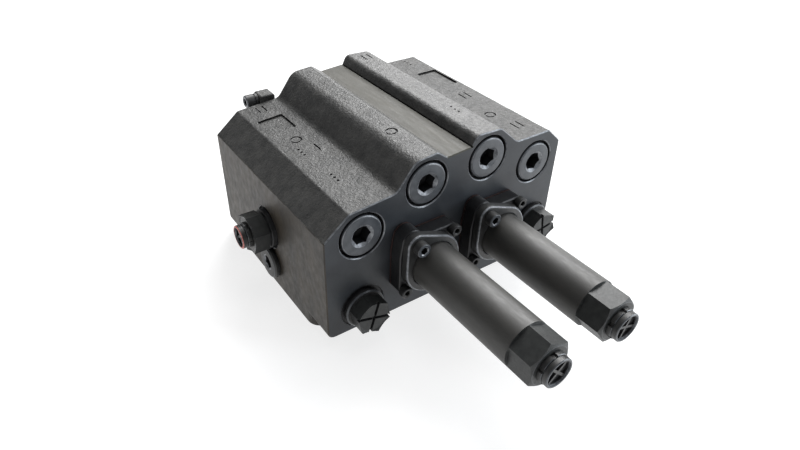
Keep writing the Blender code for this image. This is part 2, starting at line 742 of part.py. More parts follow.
def build_flange(index, x):
    points = two_lobe_outline(FLANGE_RADIUS, FLANGE_LOBE_RADIUS, FLANGE_SCREW_AT)
    flange = outline_solid(f"end_flange_{index}", points, FLANGE_THICKNESS, PARTS, "satin_black")
    middle = FLANGE_BACK - FLANGE_THICKNESS / 2
    place(flange, FACE_FRONT, (x, middle, SPOOL_Z))
    bore = prism(
        f"flange_bore_{index}", ROUND_STEPS, TUBE_RADIUS + GAP, -FLANGE_THICKNESS, FLANGE_THICKNESS, CUTTERS
    )
    place(bore, FACE_FRONT, (x, middle, SPOOL_Z))
    cut(flange, bore)
    for number, side in enumerate((1, -1), 1):
        dx, dz = FLANGE_SCREW_AT * side
        hole = prism(
            f"flange_hole_{index}_{number}", HOLE_STEPS, M5[2] + SCREW_CLEARANCE,
            -FLANGE_THICKNESS, FLANGE_THICKNESS, CUTTERS,
        )
        place(hole, FACE_FRONT, (x + dx, middle, SPOOL_Z + dz))
        cut(flange, hole)
        build_cap_screw(f"flange_screw_{index}_{number}", M5, FLANGE_THICKNESS + 6.5 * MM, FACE_FRONT,
                        (x + dx, FLANGE_FRONT - GAP, SPOOL_Z + dz))
    smooth(flange)


def build_cap_screw(name, size, length, facing, seat):
    """A socket head cap screw whose head stands on the seat point, facing outwards."""
    head_radius, head_length, shank_radius, socket_flats = size
    chamfer = 0.4 * MM
    profile = [
        (0, head_length),
        (head_radius - chamfer, head_length),
        (head_radius, head_length - chamfer),
        (head_radius, 0),
        (shank_radius, 0),
        (shank_radius, -length),
        (0, -length),
    ]
    screw = turned(name, profile, PARTS, "satin_black", HOLE_STEPS)
    place(screw, facing, seat)
    floor = head_length * 0.4
    top = head_length + CUT_OVERSHOOT
    socket = prism(name + "_socket", 6, hex_radius(socket_flats), floor, top, CUTTERS)
    place(socket, facing, seat)
    cut(screw, socket)
    smooth(screw)


def build_tube(index, x):
    front = -TUBE_FRONTS[index - 1]
    back = -TUBE_BACK
    wall = -TUBE_WALL_BACK
    hex_start = front - TUBE_HEX_LENGTH
    chamfer = 1.2 * MM
    profile = [
        (ADJUSTER_HOLE_RADIUS, front),
        (TUBE_RADIUS - 2.4 * MM, front),
        (TUBE_RADIUS, front - chamfer),
        (TUBE_RADIUS, back),
        (TUBE_BORE_RADIUS, back),
        (TUBE_BORE_RADIUS, wall),
        (ADJUSTER_HOLE_RADIUS, wall),
    ]
    tube = turned(f"spring_tube_{index}", profile, PARTS, "satin_black", ring=True)
    place(tube, FACE_FRONT, (x, 0, SPOOL_Z))
    for number in range(6):
        flat = box(
            f"tube_flat_{index}_{number}",
            (TUBE_HEX_FLATS / 2, -TUBE_RADIUS, hex_start),
            (TUBE_HEX_FLATS, TUBE_RADIUS, front + CUT_OVERSHOOT),
            CUTTERS,
        )
        turn = TUBE_HEX_TURNS[index - 1] + radians(30 + 60 * number)
        place(flat, FACE_FRONT, (x, 0, SPOOL_Z), turn)
        cut(tube, flat)
    smooth(tube)


def castellated_ring(name, root_radius, lug_radius, hole_radius, thickness, lugs, finish):
    """A round nut with raised lugs around it, from local Z 0 to its thickness."""
    profile = [
        (hole_radius, thickness),
        (lug_radius, thickness),
        (lug_radius, 0),
        (hole_radius, 0),
    ]
    ring = turned(name, profile, PARTS, finish, ring=True)
    slot_half = pi * lug_radius / lugs / 2
    cutters = []
    for number in range(lugs):
        cutters.append(
            box(
                f"{name}_slot_{number}",
                (root_radius, -slot_half, -CUT_OVERSHOOT),
                (lug_radius + CUT_OVERSHOOT, slot_half, thickness + CUT_OVERSHOOT),
                CUTTERS,
            )
        )
    cut(ring, *cutters)
    return ring, cutters


def cross_cup(name, head_radius, head_length, shank_radius, shank_length, web, finish):
    """An adjusting screw: a cupped head with a cross web in its recess, on a plain shank."""
    rim = 1.5 * MM
    profile = [
        (0, head_length),
        (head_radius - 0.5 * MM, head_length),
        (head_radius, head_length - 0.5 * MM),
        (head_radius, 0),
        (shank_radius, 0),
        (shank_radius, -shank_length),
        (0, -shank_length),
    ]
    screw = turned(name, profile, PARTS, finish, SMALL_STEPS)
    recess_radius = head_radius - rim
    pockets = []
    for number in range(4):
        reach = recess_radius * 0.72
        low = web / 2
        pockets.append(
            box(
                f"{name}_pocket_{number}",
                (low, low, head_length * 0.3),
                (reach, reach, head_length + CUT_OVERSHOOT),
                CUTTERS,
            )
        )
    dish = prism(
        f"{name}_dish", SMALL_STEPS, recess_radius, head_length * 0.75, head_length + CUT_OVERSHOOT, CUTTERS
    )
    cut(screw, dish, *pockets)
    return screw, pockets + [dish]


def build_adjuster(index, x):
    front = TUBE_FRONTS[index - 1] - GAP
    at = (x, front, SPOOL_Z)
    ring, slots = castellated_ring(
        f"lock_ring_{index}", LOCK_RING_ROOT_RADIUS, LOCK_RING_RADIUS, ADJUSTER_HOLE_RADIUS,
        LOCK_RING_THICKNESS, LOCK_RING_LUGS, "satin_black",
    )
    place(ring, FACE_FRONT, at)
    for number, slot in enumerate(slots):
        place(slot, FACE_FRONT, at, 2 * pi * number / LOCK_RING_LUGS)
    smooth(ring)
    head_at = (x, front - LOCK_RING_THICKNESS - GAP, SPOOL_Z)
    screw, pockets = cross_cup(
        f"stroke_adjuster_{index}", ADJUSTER_HEAD_RADIUS, ADJUSTER_HEAD_LENGTH, ADJUSTER_SHANK_RADIUS,
        ADJUSTER_TIP - head_at[1], 1.8 * MM, "satin_black",
    )
    place(screw, FACE_FRONT, head_at)
    turn = radians(20 + 25 * index)
    for number, pocket in enumerate(pockets):
        place(pocket, FACE_FRONT, head_at, turn + number * pi / 2)
    smooth(screw)


def cup_profile(flange_low, flange_high, boss_end):
    """A flanged spring cup: its boss runs from the flange to boss_end, above or below it."""
    hole = BOLT_SHANK_RADIUS + 0.4 * MM
    if boss_end > flange_high:
        return [
            (hole, boss_end), (CUP_BOSS_RADIUS, boss_end), (CUP_BOSS_RADIUS, flange_high),
            (CUP_RADIUS, flange_high), (CUP_RADIUS, flange_low), (hole, flange_low),
        ]
    return [
        (hole, flange_high), (CUP_RADIUS, flange_high), (CUP_RADIUS, flange_low),
        (CUP_BOSS_RADIUS, flange_low), (CUP_BOSS_RADIUS, boss_end), (hole, boss_end),
    ]


def build_spring_pack(index, x):
    at = (x, 0, SPOOL_Z)
    inner_low = -INNER_CUP_BACK
    inner_high = inner_low + CUP_FLANGE
    outer_high = -OUTER_CUP_FRONT
    outer_low = outer_high - CUP_FLANGE
    inner = turned(
        f"inner_spring_cup_{index}", cup_profile(inner_low, inner_high, inner_high + CUP_BOSS_LENGTH),
        PARTS, "steel", SMALL_STEPS, ring=True,
    )
    outer = turned(
        f"outer_spring_cup_{index}", cup_profile(outer_low, outer_high, outer_low - CUP_BOSS_LENGTH),
        PARTS, "steel", SMALL_STEPS, ring=True,
    )
    spring = coil(
        f"centring_spring_{index}", SPRING_MEAN_RADIUS, SPRING_WIRE_RADIUS, SPRING_TURNS,
        inner_high + GAP, outer_low - GAP,
    )
    bolt_profile = [
        (0, -BOLT_HEAD_FRONT),
        (BOLT_HEAD_RADIUS, -BOLT_HEAD_FRONT),
        (BOLT_HEAD_RADIUS, -BOLT_HEAD_BACK),
        (BOLT_SHANK_RADIUS, -BOLT_HEAD_BACK),
        (BOLT_SHANK_RADIUS, -SPOOL_FRONT - BOLT_IN_SPOOL),
        (0, -SPOOL_FRONT - BOLT_IN_SPOOL),
    ]
    bolt = turned(f"spool_end_bolt_{index}", bolt_profile, PARTS, "steel", HOLE_STEPS)
    for piece in (inner, outer, spring, bolt):
        place(piece, FACE_FRONT, at)
        smooth(piece)


# --- spools and their rear seals --------------------------------------------------------------


def build_spools():
    profile = [(0, -SPOOL_FRONT)]
    profile.append((SPOOL_RADIUS - 0.8 * MM, -SPOOL_FRONT))
    profile.append((SPOOL_RADIUS, -SPOOL_FRONT - 0.8 * MM))
    for low, high in SPOOL_GROOVES_MM:
        top, bottom = -low * MM, -high * MM
        profile += [
            (SPOOL_RADIUS, top), (SPOOL_GROOVE_RADIUS, top),
            (SPOOL_GROOVE_RADIUS, bottom), (SPOOL_RADIUS, bottom),
        ]
    profile.append((SPOOL_RADIUS, -SPOOL_BACK))
    profile.append((0, -SPOOL_BACK))
    for index, x in enumerate(SPOOL_X, 1):
        at = (x, 0, SPOOL_Z)
        spool = turned(f"spool_{index}", profile, PARTS, "steel", SMALL_STEPS)
        place(spool, FACE_FRONT, at)
        tongue = box(
            f"tongue_{index}",
            (-TONGUE_THICKNESS / 2, -TONGUE_WIDTH / 2, SPOOL_BACK - 2 * MM),
            (TONGUE_THICKNESS / 2, TONGUE_WIDTH / 2, SPOOL_BACK + TONGUE_LENGTH),
            CUTTERS,
        )
        place(tongue, FACE_BACK, at)
        cut(spool, tongue, operation="UNION")
        eye = prism(f"tongue_eye_{index}", HOLE_STEPS, TONGUE_HOLE_RADIUS, -20 * MM, 20 * MM, CUTTERS)
        place(eye, FACE_RIGHT, (x, SPOOL_BACK + TONGUE_LENGTH - 6 * MM, SPOOL_Z))
        bolt_hole = prism(
            f"spool_bolt_hole_{index}", HOLE_STEPS, BOLT_HOLE_RADIUS, -BOLT_IN_SPOOL - 1 * MM,
            CUT_OVERSHOOT, CUTTERS,
        )
        place(bolt_hole, FACE_FRONT, (x, SPOOL_FRONT, SPOOL_Z))
        cut(spool, eye, bolt_hole)
        smooth(spool)
        build_rear_seal(index, x)


def build_rear_seal(index, x):
    half = REAR_PLATE_HALF
    plate = box(
        f"rear_seal_plate_{index}",
        (x - half, REAR_PLATE_BACK, SPOOL_Z - half),
        (x + half, REAR_PLATE_BACK + REAR_PLATE_THICKNESS, SPOOL_Z + half),
        PARTS, "satin_black", bevel=1.5 * MM,
    )
    bore = prism(
        f"rear_seal_bore_{index}", ROUND_STEPS, SPOOL_BORE_RADIUS, -DEPTH, DEPTH, CUTTERS
    )
    place(bore, FACE_FRONT, (x, 0, SPOOL_Z))
    cut(plate, bore)
    for number, side in enumerate((1, -1), 1):
        offset = REAR_SCREW_OFFSET * side
        hole = prism(
            f"rear_hole_{index}_{number}", HOLE_STEPS, M4[2] + SCREW_CLEARANCE, -20 * MM, 20 * MM, CUTTERS
        )
        seat = (x + offset, REAR_PLATE_BACK + REAR_PLATE_THICKNESS + GAP, SPOOL_Z + offset)
        place(hole, FACE_BACK, seat)
        cut(plate, hole)
        build_cap_screw(f"rear_screw_{index}_{number}", M4, 14 * MM, FACE_BACK, seat)
    smooth(plate)


# --- relief cartridge -------------------------------------------------------------------------


def build_relief():
    at = (0, RELIEF_Y, RELIEF_Z)
    face = -LEFT
    collar_low = face + GAP - RELIEF_COUNTERBORE_DEPTH
    collar_high = face + RELIEF_COLLAR_LENGTH
    hex_high = collar_high + RELIEF_HEX_LENGTH
    sleeve_end = -RELIEF_SLEEVE_END
    bore_end = -RELIEF_BORE_OUTER_END
    profile = [
        (0, collar_high),
        (RELIEF_COLLAR_RADIUS - 0.6 * MM, collar_high),
        (RELIEF_COLLAR_RADIUS, collar_high - 0.6 * MM),
        (RELIEF_COLLAR_RADIUS, collar_low),
        (RELIEF_SLEEVE_RADIUS, collar_low),
        (RELIEF_SLEEVE_RADIUS, sleeve_end),
        (RELIEF_BORE_RADIUS, sleeve_end),
        (RELIEF_BORE_RADIUS, bore_end - 3 * MM),
        (0, bore_end - 3 * MM),
    ]
    body = turned("relief_body", profile, PARTS, "satin_black")
    place(body, FACE_LEFT, at)
    head = prism("relief_hex", 6, hex_radius(RELIEF_HEX_FLATS), collar_high - 1 * MM, hex_high, CUTTERS)
    place(head, FACE_LEFT, at, radians(20))
    hole = prism(
        "relief_screw_hole", SMALL_STEPS, RELIEF_SCREW_HOLE_RADIUS, bore_end - 3.5 * MM,
        hex_high + CUT_OVERSHOOT, CUTTERS,
    )
    place(hole, FACE_LEFT, at)
    cut(body, head, operation="UNION")
    cut(body, hole)
    build_relief_inside(at, sleeve_end, bore_end)
    build_relief_adjuster(at, hex_high, bore_end)
    smooth(body)


def build_relief_inside(at, sleeve_end, bore_end):
    seat_profile = [
        (2.5 * MM, sleeve_end + 5.5 * MM), (5.7 * MM, sleeve_end + 5.5 * MM),
        (5.7 * MM, sleeve_end + 1.5 * MM), (2.5 * MM, sleeve_end + 1.5 * MM),
    ]
    seat = turned("relief_seat", seat_profile, PARTS, "steel", SMALL_STEPS, ring=True)
    tip = sleeve_end + 5.0 * MM
    poppet_profile = [
        (0, tip + 9 * MM), (2.2 * MM, tip + 9 * MM), (2.2 * MM, tip + 6.5 * MM),
        (4.6 * MM, tip + 6.5 * MM), (4.6 * MM, tip + 4.5 * MM),
        (1.6 * MM, tip + 0.4 * MM), (0, tip + 0.4 * MM),
    ]
    poppet = turned("relief_poppet", poppet_profile, PARTS, "steel", SMALL_STEPS)
    spring = coil(
        "relief_spring", 3.6 * MM, 0.8 * MM, 4, tip + 6.5 * MM + GAP, bore_end - 4.5 * MM - GAP
    )
    for piece in (seat, poppet, spring):
        place(piece, FACE_LEFT, at)
        smooth(piece)


def build_relief_adjuster(at, hex_high, bore_end):
    ring_at = (-hex_high - GAP, RELIEF_Y, RELIEF_Z)
    ring, slots = castellated_ring(
        "relief_lock_ring", RELIEF_RING_RADIUS - 1.0 * MM, RELIEF_RING_RADIUS, RELIEF_SCREW_HOLE_RADIUS,
        RELIEF_RING_LENGTH, 6, "satin_black",
    )
    place(ring, FACE_LEFT, ring_at)
    for number, slot in enumerate(slots):
        place(slot, FACE_LEFT, ring_at, 2 * pi * number / 6)
    smooth(ring)
    head_at = (ring_at[0] - RELIEF_RING_LENGTH - GAP, RELIEF_Y, RELIEF_Z)
    shank_length = -head_at[0] - (bore_end - 4.5 * MM)
    screw, pockets = cross_cup(
        "relief_adjuster", RELIEF_HEAD_RADIUS, RELIEF_HEAD_LENGTH, RELIEF_SCREW_RADIUS, shank_length,
        1.6 * MM, "satin_black",
    )
    place(screw, FACE_LEFT, head_at)
    for number, pocket in enumerate(pockets):
        place(pocket, FACE_LEFT, head_at, radians(30) + number * pi / 2)
    smooth(screw)


def build_service_block():
    low, high = SERVICE_BLOCK_MM
    block = box(
        "service_block", [v * MM for v in low], [v * MM for v in high], PARTS, "cast_black", bevel=1.2 * MM
    )
    back = high[1] * MM + GAP
    for index, z in enumerate(SERVICE_SCREW_Z, 1):
        hole = prism(
            f"service_hole_{index}", HOLE_STEPS, M4[2] + SCREW_CLEARANCE, -20 * MM, 20 * MM, CUTTERS
        )
        place(hole, FACE_BACK, (SERVICE_SCREW_X, back, z))
        cut(block, hole)
        length = back - BACK + SERVICE_SCREW_IN_BLOCK
        build_cap_screw(f"service_screw_{index}", M4, length, FACE_BACK, (SERVICE_SCREW_X, back, z))
    smooth(block)
    radius = CROSS_PLUG_RADIUS
    profile = [
        (0, CROSS_PLUG_LENGTH), (radius - 0.8 * MM, CROSS_PLUG_LENGTH),
        (radius, CROSS_PLUG_LENGTH - 0.8 * MM), (radius, 0), (0, 0),
    ]
    plug = turned("cross_plug", profile, PARTS, "satin_black", SMALL_STEPS)
    place(plug, FACE_LEFT, [v * MM for v in CROSS_PLUG_AT_MM])
    smooth(plug)


clear_scene()
PARTS = new_collection("hydraulic_monoblock_valve")
CUTTERS = new_collection("cutters", hidden=True)
MATERIALS = {name: make_material(name) for name in FINISHES}
build_block()
build_front_plugs()
build_hex_plugs()
build_side_plug()
build_spool_ends()
build_spools()
build_relief()
build_service_block()
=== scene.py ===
"""Looks of the two-spool hydraulic monoblock valve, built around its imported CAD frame.

Each piece is shaped in millimetres in a local frame. Its +Z points out of the face it belongs to,
and its origin is the middle of the CAD node's outermost face, which the frame gives.
"""

import json
from math import acos, atan2, cos, pi, radians, sin, tan

import bmesh
import bpy
from mathutils import Matrix, Vector, noise


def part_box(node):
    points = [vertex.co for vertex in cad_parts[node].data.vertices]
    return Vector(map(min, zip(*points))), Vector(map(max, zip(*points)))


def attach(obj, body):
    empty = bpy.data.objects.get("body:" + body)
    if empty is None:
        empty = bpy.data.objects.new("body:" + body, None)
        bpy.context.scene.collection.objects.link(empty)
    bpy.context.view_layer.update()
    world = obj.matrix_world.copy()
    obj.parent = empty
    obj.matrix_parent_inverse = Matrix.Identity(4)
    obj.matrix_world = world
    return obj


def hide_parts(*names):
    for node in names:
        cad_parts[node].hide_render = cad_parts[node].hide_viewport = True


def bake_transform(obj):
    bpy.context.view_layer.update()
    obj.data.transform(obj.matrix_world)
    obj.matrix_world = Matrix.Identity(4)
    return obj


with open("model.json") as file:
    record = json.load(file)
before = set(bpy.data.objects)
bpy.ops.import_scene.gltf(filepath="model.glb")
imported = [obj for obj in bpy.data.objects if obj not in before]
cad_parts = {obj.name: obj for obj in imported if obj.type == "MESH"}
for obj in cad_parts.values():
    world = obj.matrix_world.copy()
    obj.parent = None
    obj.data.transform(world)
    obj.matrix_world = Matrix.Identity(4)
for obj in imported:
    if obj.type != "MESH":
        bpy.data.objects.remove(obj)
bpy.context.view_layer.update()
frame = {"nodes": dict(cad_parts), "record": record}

BODY_OF = {
    node: body for body, nodes in frame["record"]["behaviour"]["bodies"].items() for node in nodes
}

MM = 0.001
STEPS = 72  # around a turned piece
CORNER_STEPS = 5  # along the arc of a rounded corner
SHARP_ANGLE = radians(32)

# Rotations that turn local +Z to the way a face looks
FRONT = Matrix.Rotation(radians(90), 4, "X")
BACK = Matrix.Rotation(radians(-90), 4, "X")
LEFT = Matrix.Rotation(radians(-90), 4, "Y")
RIGHT = Matrix.Rotation(radians(90), 4, "Y")
UP = Matrix.Identity(4)

# Cast block: (x, z, corner radius) of its section, from the lower left corner over the ridges
SECTION = [
    (-82.5, 6.0, 4.5), (-82.5, 73.3, 1.2), (-67.2, 85.9, 2.4), (-38.3, 88.5, 6.0),
    (-26.9, 103.5, 9.5), (-12.5, 104.7, 3.6), (-5.6, 99.7, 0.8), (11.2, 101.0, 0.8),
    (14.2, 107.0, 4.5), (31.8, 106.5, 6.0), (45.9, 94.3, 6.0), (71.9, 94.4, 2.4),
    (82.5, 84.9, 1.2), (82.5, 6.0, 4.5),
]
BLOCK_HALF_DEPTH = 69.0
BLOCK_BASE = 6.0
BLOCK_CHAMFER = 0.6
BLOCK_ROWS = 44  # of faces along Y, for the waves of the cast top
CAST_ABOVE = 73.5  # the sides are machined up to here
CHANNEL_X = (-5.6, 11.2)  # the milled channel between the ridges
CHANNEL_TOP = 102.0
SHADED_SHOULDER_X = 44.0  # the cast skin's upward faces are darker from here to the right face: painted shade
# How far the cast top sinks and sways, and the length along x, y and z of its two waves
CAST_WAVE = 0.35
LONG_WAVE = (30, 11, 30)
SHORT_WAVE = (9, 4, 9)
RAIL_X = 73.5
RAIL_HALF_WIDTH = 8.8
RAIL_END_Y = 44.0
PAD_RADIUS = 7.9
# x low, x high, y low, y high of the shallow label recesses in the top
RECESSES = [(-63.2, -46.4, 26.7, 47.2), (54.8, 70.3, 15.0, 41.2)]
RECESS_FLOOR = 1.3
# Middles of the ports as (x, z) in the back and (y, z) in the right face, and their
# (thread radius, spot face radius)
BACK_PORTS = [(-62.0, 54.0), (-62.0, 23.0), (-18.6, 87.5), (23.8, 90.3), (62.4, 75.8)]
BACK_PORT_SIZE = (9.3, 12.5)
TANK_PORT = (-4.0, 38.0)
TANK_PORT_SIZE = (11.9, 15.1)
THREAD_PITCH = 1.8
THREAD_TURNS = 8
# Stepped bores, as (radius, depth) pairs from the face inwards
FRONT_PLUG_BORE = [(13.9, 5.5), (10.3, 34)]
CHECK_BORE = [(9.5, 29), (5.0, 44)]
CHECK_RECESS = {"left": (13.9, 1.2), "right": (12.9, 1.2)}
RELIEF_BORE = [(13.4, 1.5), (9.0, 34.5)]
SIDE_PLUG_BORE = [(8.1, 16)]
FOOT_BORE = [(3.4, 15)]
SCREW_HOLE_RADIUS = 2.3
SCREW_HOLE_DEPTH = 10.0
# x, y and shape of the cast identification marks on top
MARKS = [
    (-54.0, 61.0, "bars"), (-54.0, 13.0, "ring"), (-58.0, -1.5, "dots"), (-48.0, -2.0, "bar"),
    (-56.0, -35.5, "dots"), (-19.0, -35.0, "ring"), (25.0, 59.0, "bars"), (25.0, -36.0, "dots"),
    (61.0, 61.0, "dots"), (60.6, -4.0, "bars"), (56.0, -34.0, "ring"), (60.6, -53.0, "bars"),
]
MARK_DEPTH = 0.9
MARK_RING = (3.8, 2.6)  # outer and inner radius
MARK_BAR = (0.6, 4.2)  # half width and half length
MARK_DOT = 0.9  # radius

# Check caps, with the turn in degrees of the cross over each one's head
CAP_FLATS = 19
CAP_HEIGHT = 12
CAP_COLLAR = 3.4
CAP_HEX_TURN = radians(41.7)
CAP_CROSS_TURNS = {"left": 32, "right": -32}
CAP_GROOVE_HALF_WIDTH = 1.0
# Socket head screws: head radius, head height, shank radius, socket flats
M4_SCREW = (3.5, 4.0, 2.0, 3.0)
M5_SCREW = (4.25, 5.0, 2.5, 4.0)

# Front ends of the spools
PLATE_HALF_SIZE = (19.0, 17.8)
PLATE_CORNER = 3.0
PLATE_SCREW_AT = Vector((16.2, 15.0))
FLANGE_SCREW_AT = Vector((-11.0, 16.7))
FLANGE_RADIUS = 18.15
FLANGE_LOBE = 6.6
FLANGE_SCREW_HOLE = 2.8
TUBE_RADIUS = 13.86
TUBE_SEAT = 14.16
TUBE_FLATS = 24.0
TUBE_HEX_LENGTH = 15.5
TUBE_HEX_TURNS = (radians(35), radians(5))
# Lock rings: hole, root and lug radius, thickness. Adjusting screws: head radius and height,
# shank radius
STROKE_RING = (5.3, 7.9, 8.95, 2.6)
RELIEF_RING = (4.3, 7.4, 7.8, 2.4)
STROKE_SCREW = (8.5, 2.8, 5.0)
RELIEF_SCREW = (7.2, 3.0, 4.0)
WEB_HALF_WIDTH = 0.6

# Relief cartridge, spools and springs
RELIEF_FLATS = 22.0
RELIEF_HEX_LENGTH = 10.2
RELIEF_COLLAR = 2.6
SPOOL_RADIUS = 7.7
SPOOL_NECK = 5.0
TONGUE_LENGTH = 16.0
# y low and y high of the grooves between a spool's lands
SPOOL_GROOVES = [(-52, -40), (-26, -14), (-4, 8), (20, 32), (44, 54)]
# CAD node, way its moving end looks, node it presses on, (coil radius, wire radius, turns)
SPRINGS = [
    ("centring_spring_1", BACK, "inner_spring_cup_1", (8.2, 1.1, 5)),
    ("centring_spring_2", BACK, "inner_spring_cup_2", (8.2, 1.1, 5)),
    ("check_spring_left", BACK, "check_poppet_left", (4.0, 0.6, 3)),
    ("check_spring_right", BACK, "check_poppet_right", (4.0, 0.6, 3)),
    ("relief_spring", RIGHT, "relief_poppet", (3.6, 0.8, 4)),
]

# Studio, in metres: name, place, point it looks at, size, watts, colour
WHITE = (1.0, 1.0, 1.0)
COOL_WHITE = (0.88, 0.94, 1.0)
SOFTBOXES = [
    ("key_softbox", (1.20, 1.05, 1.5), (0.0, 0.0, 0.08), (1.5, 1.4), 78.0, WHITE),
    ("top_softbox", (0.15, 0.1, 1.1), (0.0, 0.0, 0.05), (0.7, 0.7), 3.0, WHITE),
    ("right_card", (1.6, 1.2, 0.2), (0.0, 0.0, 0.08), (1.4, 0.4), 5.0, WHITE),
    ("low_card", (0.9, -0.75, 0.17), (0.03, -0.07, 0.07), (0.7, 0.28), 7.0, COOL_WHITE),
    ("front_fill", (1.0, -0.75, 0.8), (0.0, 0.0, 0.05), (0.8, 0.5), 7.0, COOL_WHITE),
]
WORLD_COLOUR = (0.95, 0.97, 1.0, 1.0)
WORLD_STRENGTH = 0.22
FLOOR_HALF_SIZE = 6.0
FLOOR_GLOW = 0.76
CAMERA_AT = Vector((-0.19609, -0.28889, 0.26513))
CAMERA_RIGHT = Vector((0.81878, -0.57352, 0.02590))
CAMERA_UP = Vector((0.32022, 0.49367, 0.80856))
LENS_MM = 28.19


# --- finishes ---------------------------------------------------------------------------------


# What make_finish is given for each finish, with sizes in mm
FINISH_SETTINGS = {
    "cast_skin": dict(
        dark=(0.030, 0.030, 0.029), light=(0.058, 0.057, 0.054), patch=7.0, roughness=(0.40, 0.58),
        bumps=[(15.0, 0.9), (1.7, 0.44), (0.8, 0.22)],
        # Light specks are painted glints on the grain; dark specks are painted shade in pits.
        specks=[(0.9, 0.67, (0.11, 0.105, 0.095)), (1.4, 0.65, (0.007, 0.007, 0.007))],
    ),
    # A darker copy of the cast skin for the up-facing top of the right shoulder: painted shade.
    "cast_shoulder_painted_shade": dict(
        dark=(0.018, 0.018, 0.017), light=(0.040, 0.039, 0.036), patch=7.0, roughness=(0.44, 0.60),
        bumps=[(15.0, 0.9), (1.7, 0.40), (0.8, 0.24)], specular=0.34,
        specks=[(0.9, 0.67, (0.08, 0.078, 0.07)), (1.4, 0.65, (0.006, 0.006, 0.006))],
    ),
    "milled_front": dict(
        dark=(0.018, 0.020, 0.024), light=(0.028, 0.032, 0.037), patch=22.0, roughness=(0.34, 0.44),
        bumps=[(1.1, 0.020), (0.45, 0.010)], specular=0.40,
    ),
    "milled_side": dict(
        dark=(0.022, 0.018, 0.0135), light=(0.048, 0.038, 0.0265), patch=12.0, roughness=(0.40, 0.56),
        bumps=[(0.8, 0.030), (0.9, 0.020)], lay=(1, 1, 0.65), specular=0.36,
        specks=[(1.3, 0.74, (0.11, 0.10, 0.09))],
    ),
    # A lighter copy of the machined finish for the channel on top: painted light on its up-facing
    # machined faces.
    "milled_channel_painted_light": dict(
        dark=(0.036, 0.034, 0.024), light=(0.054, 0.050, 0.036), patch=6.0, roughness=(0.52, 0.62),
        bumps=[(0.9, 0.03), (0.6, 0.03)], lay=(1, 0.12, 1), specular=0.42,
    ),
    "satin_black": dict(
        dark=(0.018, 0.018, 0.018), light=(0.032, 0.032, 0.031), patch=6.0, roughness=(0.36, 0.50),
        bumps=[(0.8, 0.020), (0.35, 0.012)],
    ),
    "plate_black": dict(
        dark=(0.009, 0.009, 0.010), light=(0.018, 0.018, 0.019), patch=5.0, roughness=(0.36, 0.48),
        bumps=[(0.8, 0.020), (0.35, 0.012)], specular=0.4,
    ),
    "tube_black": dict(
        dark=(0.026, 0.025, 0.0225), light=(0.040, 0.038, 0.034), patch=7.0, roughness=(0.47, 0.57),
        bumps=[(0.7, 0.022), (0.4, 0.015)], lay=(1, 0.3, 1), specular=0.62,
    ),
    "hex_black": dict(
        dark=(0.017, 0.018, 0.018), light=(0.030, 0.032, 0.031), patch=4.0, roughness=(0.40, 0.52),
        bumps=[(0.7, 0.022), (0.35, 0.014)], specular=0.40,
    ),
    "plug_grey": dict(
        dark=(0.041, 0.045, 0.051), light=(0.067, 0.073, 0.081), patch=4.0, roughness=(0.30, 0.42),
        bumps=[(0.7, 0.02), (0.4, 0.012)],
    ),
    # Near black inside holes, sockets, grooves, gaps and marks: painted shade.
    "hollow_painted_shade": dict(
        dark=(0.006, 0.006, 0.007), light=(0.013, 0.013, 0.014), patch=3.0, roughness=(0.45, 0.65),
        bumps=[(0.8, 0.03), (0.5, 0.02)],
    ),
    # Light bands on edges, chamfers and rims: wear, and a painted highlight where light catches them.
    "worn_edge_and_highlight": dict(
        dark=(0.11, 0.115, 0.125), light=(0.26, 0.27, 0.285), patch=2.2, roughness=(0.28, 0.42),
        bumps=[(0.6, 0.03), (0.3, 0.012)], metallic=0.35,
    ),
    "ground_steel": dict(
        dark=(0.34, 0.34, 0.35), light=(0.46, 0.46, 0.47), patch=5.0, roughness=(0.16, 0.30),
        bumps=[(0.5, 0.004), (0.25, 0.004)], metallic=1.0, lay=(1, 0.05, 1),
    ),
    "spring_steel": dict(
        dark=(0.16, 0.17, 0.19), light=(0.30, 0.31, 0.33), patch=3.0, roughness=(0.28, 0.42),
        bumps=[(0.5, 0.01), (0.3, 0.006)], metallic=1.0,
    ),
    "gasket_fibre": dict(
        dark=(0.020, 0.010, 0.009), light=(0.048, 0.021, 0.018), patch=1.5, roughness=(0.70, 0.90),
        bumps=[(0.7, 0.06), (0.3, 0.03)],
    ),
    "red_lacquer": dict(
        dark=(0.36, 0.080, 0.070), light=(0.62, 0.20, 0.165), patch=1.2, roughness=(0.35, 0.50),
        bumps=[(0.6, 0.03), (0.3, 0.01)],
    ),
}


def add_node(tree, kind, **inputs):
    """A shader node. Each input is a value or the socket that feeds it, with _ for a space."""
    made = tree.nodes.new("ShaderNode" + kind)
    for name, value in inputs.items():
        socket = made.inputs[name.replace("_", " ")]
        if isinstance(value, bpy.types.NodeSocket):
            tree.links.new(value, socket)
        else:
            socket.default_value = value
    return made


def noise_at(tree, where, size, detail=3.0):
    """A noise pattern whose lumps are about size millimetres across."""
    made = add_node(
        tree, "TexNoise", Vector=where, Scale=1 / (size * MM), Detail=detail, Roughness=0.55
    )
    return made.outputs["Fac"]


def colour_ramp(tree, factor, *stops):
    """Colours along a factor, from (position, colour) stops."""
    made = add_node(tree, "ValToRGB", Fac=factor)
    elements = made.color_ramp.elements
    while len(elements) < len(stops):
        elements.new(0.5)
    for element, (position, colour) in zip(elements, stops):
        element.position = position
        element.color = (*colour, 1.0)
    return made.outputs["Color"]


def add_specks(tree, place, colour, specks):
    """The colour with sparse spots over it, from (size in mm, threshold, colour) specks."""
    for size, threshold, speck in specks:
        spots = noise_at(tree, place, size, detail=2.0)
        share = colour_ramp(tree, spots, (threshold, (0, 0, 0)), (threshold + 0.07, (1, 1, 1)))
        mixed = add_node(tree, "MixRGB", Fac=share, Color1=colour, Color2=(*speck, 1.0))
        colour = mixed.outputs["Color"]
    return colour


